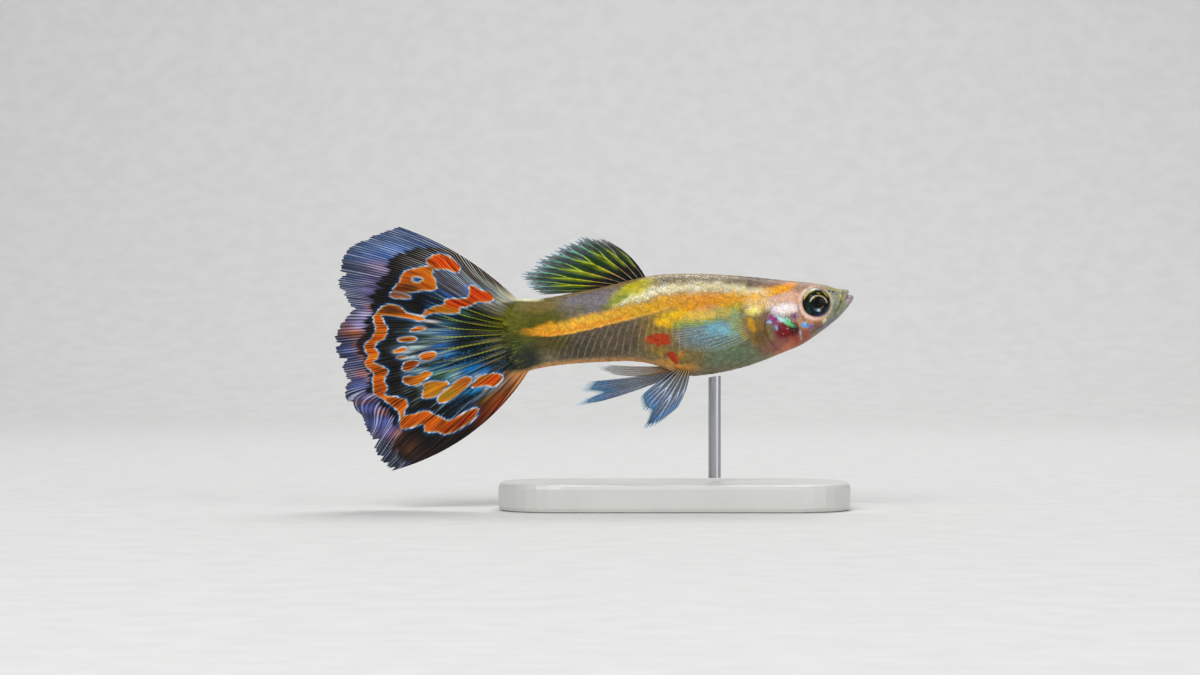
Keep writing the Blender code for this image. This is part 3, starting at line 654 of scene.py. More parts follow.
def wet_skin():
    """Wet skin: ground colours broken into grains, mirror flakes, dark dots, muscle streaks and red spots."""
    add, finish, blend, step, calc, times, shaded = surface_finish("wet_skin")
    ground = add("Attribute", {}, attribute_name="ground")
    lie = add("Attribute", {}, 1, attribute_name="lie")
    spot = add("Attribute", {}, 2, attribute_name="spot")
    rim = add("Attribute", {}, 2, attribute_name="rim")
    texture = add("Attribute", {}, 1, attribute_name="texture")
    glitter, streaks, dots = (add("SeparateXYZ", {0: texture}, i) for i in range(3))
    behind, height = add("SeparateXYZ", {0: lie}, 0), add("SeparateXYZ", {0: lie}, 2)

    plate = add("TexVoronoi", {"Vector": lie, "Scale": 8.0, "Randomness": 1.0}, 1)
    from_plate = plate.node.outputs[0]
    pick, tint_pick, size_pick = (add("SeparateColor", {0: plate}, i) for i in range(3))
    mottle = add("TexNoise", {"Vector": lie, "Scale": 2.4, "Detail": 6.0, "Roughness": 0.7})
    fine = add("TexNoise", {"Vector": lie, "Scale": 9.0, "Detail": 5.0, "Roughness": 0.75})
    shade = times(step(fine, 0.30, 0.70, 0.70, 1.30), step(mottle, 0.3, 0.7, 0.78, 1.20))
    hue = add("TexNoise", {"Vector": lie, "Scale": 5.0, "Detail": 4.0, "Roughness": 0.7})
    warm = blend(step(hue, 0.35, 0.65), (1.16, 1.0, 0.76, 1.0), (0.86, 1.0, 1.22, 1.0))
    colour = blend(0.75, ground, warm, "MULTIPLY")
    colour = blend(1.0, colour, add("CombineColor", {0: shade, 1: shade, 2: shade}), "MULTIPLY")
    uneven = calc("MULTIPLY_ADD", fine, 0.7, times(size_pick, -0.22))
    round_plate = step(calc("ADD", from_plate, uneven), 0.52, 0.72, 1.0, 0.0)

    wander = add("TexNoise", {"Vector": lie, "Scale": 0.9, "Detail": 1.0})
    lean = times(height, step(behind, 15.5, 22.5, 0.20, 0.62))
    bow = times(calc("POWER", calc("ABSOLUTE", calc("ADD", height, 1.1)), 2.0), 0.10)
    comb = calc("ADD", calc("ADD", behind, lean), calc("MULTIPLY_ADD", wander, 0.34, bow))
    comb = calc("PINGPONG", comb, 0.26)
    broken = step(add("TexNoise", {"Vector": lie, "Scale": 1.6, "Detail": 3.0}), 0.34, 0.60, 0.25, 1.0)
    streak = times(times(step(comb, 0.0, 0.085, 1.0, 0.0), streaks), broken)
    streak_tone = blend(step(behind, 15.5, 18.5), paint(0.84, 0.68, 0.32), paint(0.68, 0.61, 0.48))
    colour = blend(times(streak, 0.46), colour, streak_tone)
    beside = times(times(step(comb, 0.14, 0.26), streaks), broken)
    colour = shaded(times(beside, 0.30), colour, 0.45, 0.45, 0.45)

    hub_behind, hub_height = calc("SUBTRACT", behind, 22.3), calc("ADD", height, 0.15)
    turn = calc("ARCTAN2", hub_height, hub_behind)
    fan = add("CombineXYZ", {0: times(turn, 24.0), 1: times(behind, 0.8)})
    spokes = add("TexNoise", {"Vector": fan, "Scale": 1.0, "Detail": 4.0, "Roughness": 0.65})
    at_root = step(behind, 26.0, 28.0)
    colour = shaded(times(at_root, step(spokes, 0.46, 0.58, 0.0, 0.85)), colour, 0.22, 0.25, 0.22)
    colour = blend(times(at_root, step(spokes, 0.36, 0.46, 0.5, 0.0)), colour, paint(0.62, 0.62, 0.12))

    patchy = step(add("TexNoise", {"Vector": lie, "Scale": 1.9, "Detail": 3.0}), 0.36, 0.60, 0.15, 1.0)
    amount = times(glitter, patchy)
    chosen = step(pick, calc("SUBTRACT", 1.0, amount), calc("SUBTRACT", 1.12, amount))
    flake = times(chosen, round_plate)
    sparks = add("TexNoise", {"Vector": lie, "Scale": 15.0, "Detail": 2.0})
    spark = times(step(sparks, 0.56, 0.66), step(glitter, 0.05, 0.7, 0.0, 0.85))
    flake = calc("MAXIMUM", flake, spark)
    tint = blend(step(tint_pick, 0.35, 0.75), paint(1.0, 0.90, 0.62), paint(0.86, 0.93, 1.0))
    colour = blend(times(flake, step(glitter, 0.0, 0.8, 0.30, 0.95)), colour, tint)

    dot_place = add("TexVoronoi", {"Vector": lie, "Scale": 6.5, "Randomness": 1.0}, 0)
    dot = times(step(dot_place, 0.08, 0.32, 1.0, 0.0), calc("MULTIPLY_ADD", dots, 0.85, 0.15))
    colour = blend(times(dot, 0.60), colour, paint(0.07, 0.08, 0.05))

    ragged = calc("MULTIPLY_ADD", add("TexNoise", {"Vector": lie, "Scale": 5.0, "Detail": 4.0}), 0.7, -0.35)
    red = step(calc("ADD", spot, ragged), 0.78, 1.08, 1.0, 0.0)
    red_tone = blend(step(mottle, 0.4, 0.62), paint(0.80, 0.20, 0.01), paint(0.58, 0.13, 0.03))
    colour = blend(times(red, 0.88), colour, red_tone)
    colour = shaded(times(rim, 0.42), colour, 0.42, 0.38, 0.34)

    grain_height = calc("MULTIPLY_ADD", fine, 0.8, times(round_plate, 0.3))
    bump = add("Bump", {"Strength": 0.35, "Distance": 0.00002, "Height": grain_height})
    rough = calc("SUBTRACT", step(fine, 0.3, 0.7, 0.40, 0.56), times(flake, 0.14))
    return finish(
        Base_Color=colour, Roughness=rough, Metallic=times(flake, 0.25), Normal=bump,
        Specular_IOR_Level=0.20, Coat_Weight=0.06, Coat_Roughness=0.12,
    )


places = skin_places()
bpy.ops.mesh.primitive_grid_add(x_subdivisions=SKIN_SIDES, y_subdivisions=len(places) - 1, size=2)
skin = bpy.context.object
around, along, _ = grid_points(skin)
skin_lie = flesh(places[np.rint(along * (len(places) - 1)).astype(int)], around)
move_points(skin, skin_lie)
keep_on(skin, "lie", skin_lie)
face_outwards(skin, merge=0.0005 * MM)
bpy.ops.object.shade_smooth()
mark_body(skin)
WET_SKIN = wet_skin()
dressed(
    skin, "skin", WET_SKIN, "flank_skin",
    "head", "lower_jaw", "gill_cover_right", "gill_cover_left", "trunk", "tail_stem",
)


# Eyes
# Each eye is a ball set in its socket, with a black pupil, a dark iris with gold and silver rims, and
# a clear wet cornea that stands just proud of it.
BALL = (1.20, 0.86, 1.14)
BALL_OUT = 1.14
PUPIL = (0.12, 0.0, 0.49)
GOLD_ARC = (0.165, -0.157, 0.705, 0.042)


def eye_colours(across, up):
    """The iris as seen from the side, with "across" running forward and "up" upward, in MM."""
    radius = np.hypot(across, up)
    angle = np.degrees(np.arctan2(up, across)) % 360
    colour = np.tile(np.array(paint(0.03, 0.06, 0.06)), (len(across), 1))

    def rim(low, high, start, end, over, strength):
        """Lays a colour on part of a ring. Angles run from ahead, up and over."""
        turned = (angle - start) % 360
        span = (end - start) % 360
        edge = 14
        inside = np.minimum(ease(turned, 0, edge), 1 - ease(turned, span - edge, span)) * (turned <= span)
        half = (high - low) / 2 * (0.30 + 0.70 * np.sin(math.pi * np.clip(turned / span, 0, 1)) ** 0.6)
        band = 1 - ease(np.abs(radius - (low + high) / 2), half - 0.03, half + 0.025)
        return lay(colour, over, strength * inside * band)

    colour = rim(0.72, 1.02, 195, 250, (0.05, 0.30, 0.32), 0.8)
    colour = rim(0.84, 1.10, 250, 340, (0.03, 0.16, 0.28), 0.9)
    colour = rim(0.52, 0.85, 150, 235, (0.04, 0.20, 0.17), 0.7)
    colour = rim(0.96, 1.12, 245, 300, (0.06, 0.26, 0.58), 0.95)
    colour = rim(0.90, 1.08, 84, 164, (0.84, 0.78, 0.22), 1.0)
    colour = rim(0.94, 1.06, 92, 150, (0.95, 0.93, 0.50), 0.9)
    colour = rim(0.97, 1.10, 14, 60, (0.82, 0.74, 0.16), 1.0)
    colour = rim(0.74, 0.84, 52, 84, (0.80, 0.70, 0.16), 0.9)
    colour = rim(1.02, 1.40, 66, 172, (0.95, 0.96, 0.92), 1.0)
    colour = rim(1.10, 1.40, 195, 415, (0.62, 0.62, 0.56), 0.85)
    pupil_across, pupil_up, pupil_radius = PUPIL
    from_pupil = np.hypot(across - pupil_across, up - pupil_up)
    under = np.degrees(np.arctan2(up - pupil_up, across - pupil_across)) % 360
    # Glints under the pupil: turn in degrees, half width, far edge, colour
    for middle, half, reach, over in (
        (226, 15, 0.60, (0.46, 0.34, 0.18)), (250, 13, 0.74, (0.20, 0.52, 0.66)),
        (272, 12, 0.80, (0.94, 0.97, 1.00)), (306, 16, 0.62, (0.80, 0.68, 0.38)),
    ):
        ring = ease(from_pupil, 0.46, 0.52) * (1 - ease(from_pupil, reach - 0.16, reach))
        colour = lay(colour, over, 0.95 * ring * bump_at(under, middle, half))
    hole = 1 - ease(from_pupil, pupil_radius - 0.02, pupil_radius + 0.03)
    colour = lay(colour, (0.002, 0.002, 0.002), hole)
    arc_across, arc_up, arc_radius, arc_half = GOLD_ARC
    from_arc = np.hypot(across - arc_across, up - arc_up)
    arc_angle = np.degrees(np.arctan2(up - arc_up, across - arc_across))
    span = ease(arc_angle, -2, 10) * (1 - ease(arc_angle, 150, 164))
    return lay(colour, (0.95, 0.88, 0.66), bump_at(from_arc, arc_radius, arc_half) * span)


def iris_finish():
    add, finish, blend, step, *_ = surface_finish("iris")
    ground = add("Attribute", {}, attribute_name="ground")
    lie = add("Attribute", {}, 1, attribute_name="lie")
    threads = add("TexNoise", {"Vector": lie, "Scale": 5.0, "Detail": 5.0})
    colour = blend(step(threads, 0.35, 0.7, 0.0, 0.4), ground, paint(0.02, 0.03, 0.03))
    rough = step(threads, 0.3, 0.7, 0.24, 0.4)
    return finish(Base_Color=colour, Roughness=rough, Metallic=0.25, Specular_IOR_Level=0.2)


def cornea_finish():
    add, finish, *_ = surface_finish("wet_cornea")
    place = add("TexCoord", {}, 3)
    tear = add("TexNoise", {"Vector": place, "Scale": 700.0, "Detail": 1.0})
    film = add("Bump", {"Strength": 0.04, "Distance": 0.00001, "Height": tear})
    made = finish(Base_Color=paint(0.02, 0.02, 0.02), Roughness=0.03, Normal=film, IOR=1.38, Coat_Weight=1.0)
    made.node_tree.nodes["Principled BSDF"].inputs["Alpha"].default_value = 0.07
    return made


IRIS, CORNEA = iris_finish(), cornea_finish()
for hand, sign in (("right", -1), ("left", 1)):
    for layer, grow, proud in (("eye", 0.0, 0.0), ("cornea", 0.02, 0.06)):
        bpy.ops.mesh.primitive_uv_sphere_add(segments=96, ring_count=64, radius=1.0)
        ball = bpy.context.object
        x, y, out = own_points(ball).T
        lens = 0.05 * bump_at(np.hypot(x, y), 0, 0.42) if layer == "eye" else 0.0
        across, up = x * (BALL[0] + grow), y * (BALL[2] + grow)
        depth = (BALL_OUT + (BALL[1] + proud) * out + lens * (out > 0)) * sign
        ball_lie = np.stack((EYE[0] - across, depth, EYE[1] + up), axis=-1)
        move_points(ball, ball_lie)
        keep_on(ball, "lie", ball_lie)
        keep_on(ball, "ground", eye_colours(across, up))
        face_outwards(ball)
        bpy.ops.object.shade_smooth()
        if layer == "eye":
            dressed(ball, f"eyeball_{hand}", IRIS, "eye", f"eye_{hand}")
        else:
            dressed(ball, f"cornea_{hand}", CORNEA, "eye")


# Scales
# Thin round-backed plates lie like roof tiles from the nape to the tail, each rooted in the skin and
# lapping over the next one behind it. They carry the skin's own colours.
SCALE_ROWS = 26
SCALE_START, SCALE_END = 5.0, 25.2
SCALE_STEP = 0.74
SCALE_LIFT = 0.021
SCALE_LENGTH, SCALE_WIDTH = 1.32, 0.56
LAST_SCALE = 26.1
PLATE_LONG, PLATE_WIDE = 7, 6
# The brow and the throat have no scales, and none lie on the gill cover: behind, height
BARE_BROW, BARE_THROAT = (7.4, 0.9), (7.2, -2.5)
BARE_COVER = 1.08


def rear_edge(across):
    """How far back a scale's round rear edge reaches, from 1 at its middle."""
    return 1 - 0.42 * np.abs(across) ** 2.2


def plate_outline():
    """One scale as offsets: along, across, level above the skin, with a round rear edge and a sunk front."""
    bpy.ops.mesh.primitive_grid_add(x_subdivisions=PLATE_WIDE, y_subdivisions=PLATE_LONG, size=2)
    plate = bpy.context.object
    bpy.ops.object.mode_set(mode="EDIT")
    bpy.ops.mesh.extrude_region_move(TRANSFORM_OT_translate={"value": (0.0, 0.0, -1.0)})
    bpy.ops.object.mode_set(mode="OBJECT")
    across, along, level = grid_points(plate)
    across = across * 2 - 1
    faces = [tuple(face.vertices) for face in plate.data.polygons]
    bpy.data.objects.remove(plate)
    reach = along * rear_edge(across)
    top = level > -0.5
    lifted = -0.6 + 1.6 * ease(along, 0.0, 0.8) - 0.35 * across**2
    level = np.where(top, lifted, -2.2)
    return reach, across, level, faces


def scale_coat():
    reach, across, level, faces = plate_outline()
    rng = np.random.default_rng(11)
    lies, all_faces, roots = [], [], []
    columns = int((SCALE_END - SCALE_START) / SCALE_STEP)
    for column in range(columns):
        for line in range(SCALE_ROWS):
            turn = (line + (0.5 if column % 2 else 0.0)) / SCALE_ROWS
            place = SCALE_START + column * SCALE_STEP + rng.normal(0, 0.02)
            root = flesh(place, turn)
            on_cover = cover_reach(root[0], root[2])[2] < BARE_COVER
            on_brow, on_throat = (
                root[0] < behind and root[2] < height for behind, height in (BARE_BROW, BARE_THROAT)
            )
            if on_cover or on_brow or on_throat:
                continue
            places = np.minimum(place + reach * SCALE_STEP * SCALE_LENGTH, LAST_SCALE)
            turns = turn + across * SCALE_WIDTH / SCALE_ROWS
            points = flesh(places, turns)
            ahead = flesh(places + 0.02, turns) - points
            beside = flesh(places, turns + 0.002) - points
            out = np.cross(beside, ahead)
            out /= np.maximum(np.linalg.norm(out, axis=1), 1e-9)[:, None]
            lift = SCALE_LIFT * (0.85 + 0.3 * rng.random())
            all_faces.extend(tuple(v + len(lies) * len(reach) for v in face) for face in faces)
            lies.append(points + out * (level * lift)[:, None])
            roots.append((place / 28.0, turn))
    return np.concatenate(lies), all_faces, np.array(roots), len(reach), reach, across


scale_lie, scale_faces, scale_roots, plate_points, plate_reach, plate_across = scale_coat()
scale_mesh = bpy.data.meshes.new("scales")
scale_mesh.from_pydata(set_in_world(scale_lie).tolist(), [], scale_faces)
scales = bpy.data.objects.new("scales", scale_mesh)
bpy.context.scene.collection.objects.link(scales)
bpy.context.view_layer.objects.active = scales
scales.select_set(True)
keep_on(scales, "lie", scale_lie)
count = len(scale_roots)
side_rim = ease(np.abs(plate_across), 0.8, 1.0)
plate_rim = np.maximum(ease(plate_reach / rear_edge(plate_across), 0.80, 1.0), side_rim)
keep_on(scales, "rim", np.tile(plate_rim, count))
face_outwards(scales)
bpy.ops.object.shade_smooth_by_angle(angle=math.radians(50))
mark_body(scales)
bake_place = np.repeat(scale_roots * 0.94 + 0.03, plate_points, axis=0)
bake_place += np.tile(np.stack((plate_reach - 0.5, plate_across / 2), axis=-1) * 0.003, (count, 1))
lay_flat(scales, scale_mesh.uv_layers.new(name="OFBake"), bake_place)
dressed(scales, "scales", WET_SKIN, "flank_skin")


# Tail fin
# A web of clear skin stretched over sixteen bony rays that fork three times before the ragged edge.
# Its marks lie in the web: orange and red islands with pale blue rims on black, and a blue-violet edge.


def curve_through(points):
    """A function of 0 to 1 that runs smoothly through points given in MM."""
    rows = np.array([(i / (len(points) - 1), *p) for i, p in enumerate(points)], float)
    return lambda share: smooth_rows(rows, np.clip(share, 0, 1))[:, 1:]


FORK_GAP, FORK_RUN = 0.25, 0.24


def fold_rays(ray, along, forks):
    """How far each point is from the nearest ray or branch, in shares of the space between two rays."""
    off = ray - np.floor(ray) - 0.5
    gap = FORK_GAP
    for start in forks:
        off = np.abs(off) - gap * ease(along, start, start + FORK_RUN)
        gap /= 2
    return np.abs(off)


def fin_sheet(columns, rows):
    """A grid doubled into a closed sheet, with its points' shares across and along, and each one's face."""
    bpy.ops.mesh.primitive_grid_add(x_subdivisions=columns, y_subdivisions=rows, size=2)
    sheet = bpy.context.object
    bpy.ops.object.mode_set(mode="EDIT")
    bpy.ops.mesh.extrude_region_move(TRANSFORM_OT_translate={"value": (0.0, 0.0, 1.0)})
    bpy.ops.object.mode_set(mode="OBJECT")
    across, along, level = grid_points(sheet)
    return sheet, across, along, np.where(level > 0.5, 1.0, -1.0)


def fan_place(across, along, root, margin, bow):
    """Where points of a fan lie in MM: out from its root to its margin along bowed lines."""
    start, end = root(across), margin(across)
    chord = end - start
    normal = np.stack((-chord[:, 1], chord[:, 0]), axis=-1)
    normal /= np.linalg.norm(normal, axis=1)[:, None]
    control = (start + end) / 2 + normal * (bow[0] + (bow[1] - bow[0]) * across)[:, None]
    t = along[:, None]
    return start * (1 - t) ** 2 + control * 2 * t * (1 - t) + end * t**2


def shape_fin(
    sheet, across, along, face, rays, forks, root, margin, bow, side_at,
    lean=None, torn=None, web=0.045, relief=0.10, fray=0.05,
):
    """Spreads a fin's sheet over its rays and raises them on both faces. "torn" cuts back its edge."""
    ray = across * rays - (lean(across, along) if lean else 0.0)
    off = fold_rays(ray, along, forks)
    wide = 0.26 - 0.20 * ease(along, 0.1, 0.85)
    ridge = bump_at(off, 0, wide)
    cut = fray * (1 - bump_at(off, 0, 0.06)) + (torn(ray) if torn else 0.0)
    reach = along * (1 - cut * ease(along, 0.80, 1.0))
    place = fan_place(across, reach, root, margin, bow)
    taper = 1 - 0.72 * ease(along, 0.1, 1.0)
    half = (web + relief * ridge) * taper
    lie = np.stack((place[:, 0], side_at(across, along, ray) + face * half, place[:, 1]), axis=-1)
    move_points(sheet, lie)
    keep_on(sheet, "lie", lie)
    face_outwards(sheet)
    bpy.ops.object.shade_smooth()
    layer = sheet.data.uv_layers.active
    layer.name = "rays"
    lay_flat(sheet, layer, np.stack((ray / rays, along), axis=-1))
    return ray


TAIL_RAYS = 16
TAIL_FORKS = (0.34, 0.56, 0.76)
TAIL_MARGIN = curve_through(
    (
        (35.4, 9.86), (39.4, 8.75), (40.75, 6.1), (40.1, 3.9), (41.55, 1.3), (41.0, -1.6), (41.3, -3.6),
        (39.9, -5.9), (39.2, -8.3), (38.3, -9.55),
    )
)
TAIL_BOW = (1.7, -3.1)


def tail_root(across):
    return np.stack((np.full_like(across, 25.6), 1.6 - 3.5 * across), axis=-1)


def tail_side(across, along, ray):
    swing = 0.50 * np.sin(2 * math.pi * (1.4 * across + 0.1)) * along**2
    pleat = 0.07 * np.sin(2 * math.pi * ray) * ease(along, 0.3, 0.9)
    return swing + pleat + 0.05 * np.sin(2 * math.pi * (ray * 0.37 + along * 1.3)) * along


def tail_lean(across, along):
    """How far, in rays, the real rays lie off the sheet's even lines, leaning to the nearer edge."""
    top = 1.5 * np.clip(0.6 - along, 0, 0.4) / 0.4 * (1 - ease(across, 0.28, 0.46))
    middle = (along - 0.5) * ease(across, 0.30, 0.45)
    bottom = (2.7 * (along - 0.5) + 12 * np.maximum(along - 0.75, 0) ** 2) * ease(across, 0.58, 0.80)
    return 0.45 + top + middle + bottom


# Where the edge is torn back: ray, half width in rays, depth as a share of the fin
TAIL_TEARS = (
    (0.6, 0.5, 0.012), (2.6, 0.3, 0.022), (3.7, 0.25, 0.014), (4.8, 0.3, 0.020), (6.2, 0.22, 0.020),
    (7.0, 0.22, 0.026), (8.1, 0.3, 0.014), (9.0, 0.25, 0.020), (10.1, 0.25, 0.026), (11.2, 0.2, 0.014),
    (11.9, 0.2, 0.018), (12.6, 0.25, 0.024), (13.5, 0.22, 0.018), (14.5, 0.25, 0.020),
)


def tail_tears(ray):
    cut = 0.006 * np.abs(np.sin(math.pi * 2 * ray)) + 0.004 * np.sin(math.pi * 8.3 * ray)
    for middle, half, depth in TAIL_TEARS:
        cut = cut + depth * bump_at(ray, middle, half) * (1 + 0.6 * np.sign(ray - middle))
    return cut


# Islands of colour as outlines: ray counted from the top edge, and share of the way out
TAIL_ISLANDS = {
    "upper_saddle": (
        (1.30, 0.275), (1.35, 0.25), (1.6, 0.225), (2.1, 0.222), (2.5, 0.245), (2.9, 0.29),
        (3.6, 0.335), (3.95, 0.38), (4.35, 0.385), (4.75, 0.42), (4.95, 0.52), (5.38, 0.59),
        (5.0, 0.585), (4.4, 0.52), (3.9, 0.455), (3.5, 0.45), (3.2, 0.41), (2.9, 0.35), (2.5, 0.34),
        (2.1, 0.345), (1.65, 0.36), (1.5, 0.34), (1.6, 0.31), (1.5, 0.28),
    ),
    "leading_block": (
        (0.62, 0.50), (0.9, 0.478), (1.15, 0.462), (1.28, 0.52), (1.5, 0.56), (1.45, 0.605),
        (1.2, 0.64), (0.6, 0.65), (0.42, 0.60),
    ),
    "ring_eye": (
        (1.4, 0.56), (1.6, 0.567), (2.0, 0.55), (2.25, 0.525), (2.75, 0.505), (3.0, 0.52), (3.2, 0.575),
        (3.5, 0.625), (3.62, 0.68), (3.58, 0.715), (3.3, 0.705), (2.9, 0.69), (2.4, 0.685),
        (2.0, 0.645), (1.5, 0.60),
    ),
    "pale_tongue": ((3.75, 0.64), (3.95, 0.63), (4.1, 0.68), (4.15, 0.725), (3.9, 0.735), (3.68, 0.71)),
    "brown_leaf": (
        (5.45, 0.59), (5.78, 0.60), (5.64, 0.68), (5.58, 0.80), (5.66, 0.85), (5.4, 0.84), (5.0, 0.805),
        (4.8, 0.76), (4.95, 0.71), (5.3, 0.685),
    ),
    "wave_ring": (
        (5.55, 0.825), (6.0, 0.787), (6.3, 0.755), (6.65, 0.745), (6.95, 0.755), (7.2, 0.79),
        (7.45, 0.80), (7.75, 0.785), (7.98, 0.80), (8.2, 0.832), (8.45, 0.805), (8.7, 0.775),
        (9.05, 0.785), (9.4, 0.80), (9.8, 0.785), (10.2, 0.78), (10.6, 0.797), (10.85, 0.765),
        (11.0, 0.735), (11.28, 0.71), (11.55, 0.722), (11.9, 0.755), (12.25, 0.79), (12.6, 0.83),
        (12.3, 0.805), (11.8, 0.79), (11.3, 0.80), (10.9, 0.808), (10.6, 0.83), (10.3, 0.85),
        (9.7, 0.852), (9.2, 0.86), (8.8, 0.852), (8.4, 0.88), (8.1, 0.87), (7.85, 0.845), (7.35, 0.85),
        (7.1, 0.83), (6.9, 0.812), (6.4, 0.808), (6.0, 0.84), (5.7, 0.853),
    ),
    "lower_saddle": (
        (12.22, 0.785), (12.32, 0.73), (12.3, 0.69), (12.42, 0.66), (12.8, 0.64), (13.3, 0.605),
        (13.62, 0.585), (13.7, 0.52), (13.8, 0.45), (13.95, 0.42), (14.3, 0.42), (14.7, 0.455),
        (14.82, 0.52), (14.7, 0.60), (14.4, 0.645), (14.0, 0.66), (13.75, 0.705), (13.55, 0.72),
        (13.1, 0.712), (13.05, 0.77), (12.95, 0.83), (12.6, 0.82),
    ),
    "drop_1": ((6.12, 0.575), (6.28, 0.56), (6.44, 0.60), (6.42, 0.632), (6.22, 0.615)),
    "drop_2": ((6.82, 0.61), (7.0, 0.585), (7.16, 0.62), (7.12, 0.672), (6.9, 0.675)),
    "drop_3": ((7.48, 0.655), (7.62, 0.64), (7.78, 0.675), (7.8, 0.715), (7.62, 0.70)),
    "drop_4": ((7.92, 0.52), (8.15, 0.505), (8.45, 0.54), (8.4, 0.58), (8.15, 0.595), (7.96, 0.57)),
    "drop_5": ((8.0, 0.68), (8.12, 0.65), (8.18, 0.69), (8.05, 0.71)),
    "drop_6": ((8.35, 0.64), (8.55, 0.605), (8.85, 0.64), (9.0, 0.68), (8.8, 0.70), (8.45, 0.68)),
    "drop_7": (
        (9.25, 0.585), (9.45, 0.555), (9.7, 0.55), (9.95, 0.58), (10.4, 0.612), (10.3, 0.65),
        (10.0, 0.685), (9.7, 0.70), (9.4, 0.695), (9.48, 0.64), (9.4, 0.61),
    ),
    "drop_8": (
        (10.35, 0.55), (10.6, 0.51), (10.9, 0.475), (11.2, 0.495), (11.5, 0.54), (11.6, 0.59),
        (11.45, 0.632), (11.1, 0.615), (10.7, 0.592), (10.4, 0.597),
    ),
    "drop_9": (
        (10.95, 0.38), (11.3, 0.36), (11.7, 0.385), (12.0, 0.44), (12.28, 0.52), (12.25, 0.565),
        (12.05, 0.582), (11.7, 0.555), (11.3, 0.48), (11.0, 0.42),
    ),
    "drop_10": (
        (11.5, 0.32), (11.75, 0.265), (12.2, 0.235), (12.8, 0.222), (13.2, 0.24), (13.25, 0.285),
        (12.9, 0.305), (12.6, 0.32), (12.4, 0.35), (12.1, 0.39), (11.8, 0.37),
    ),
}
RING_HOLE = ((2.42, 0.585), (2.72, 0.59), (2.74, 0.632), (2.5, 0.635))

# Soft colours inside the islands: ray, share out, reach across, reach out, colour, strength
ISLAND_TONES = (
    (2.2, 0.29, 1.4, 0.10, (0.90, 0.22, 0.02), 1.0),
    (3.6, 0.39, 0.6, 0.08, (0.88, 0.18, 0.01), 1.0),
    (4.7, 0.48, 0.7, 0.12, (0.80, 0.46, 0.05), 1.0),
    (0.95, 0.56, 0.5, 0.12, (0.92, 0.26, 0.02), 1.0),
    (2.6, 0.55, 0.5, 0.06, (0.86, 0.38, 0.02), 1.0),
    (3.1, 0.63, 0.45, 0.08, (0.34, 0.16, 0.03), 0.9),
    (1.9, 0.59, 0.5, 0.05, (0.72, 0.32, 0.03), 0.9),
    (3.9, 0.685, 0.12, 0.05, (0.86, 0.66, 0.62), 0.9),
    (5.25, 0.76, 0.5, 0.09, (0.46, 0.24, 0.05), 0.95),
    (5.65, 0.62, 0.2, 0.10, (0.88, 0.40, 0.04), 0.95),
    (7.0, 0.64, 0.25, 0.06, (0.36, 0.10, 0.02), 0.95),
    (9.7, 0.67, 0.35, 0.05, (0.40, 0.16, 0.02), 0.8),
    (9.6, 0.59, 0.4, 0.04, (0.90, 0.46, 0.05), 0.9),
    (10.2, 0.62, 0.35, 0.05, (0.90, 0.52, 0.05), 0.8),
    (10.9, 0.56, 0.8, 0.08, (0.92, 0.60, 0.05), 0.95),
    (11.6, 0.42, 0.5, 0.08, (0.74, 0.40, 0.04), 0.9),
    (11.8, 0.52, 0.5, 0.07, (0.66, 0.55, 0.08), 0.9),
    (12.4, 0.28, 0.9, 0.10, (0.90, 0.28, 0.03), 0.95),
    (11.7, 0.31, 0.25, 0.05, (0.96, 0.56, 0.12), 0.8),
    (14.3, 0.55, 0.6, 0.14, (0.62, 0.10, 0.01), 0.95),
    (14.3, 0.45, 0.4, 0.05, (0.74, 0.12, 0.01), 0.95),
)
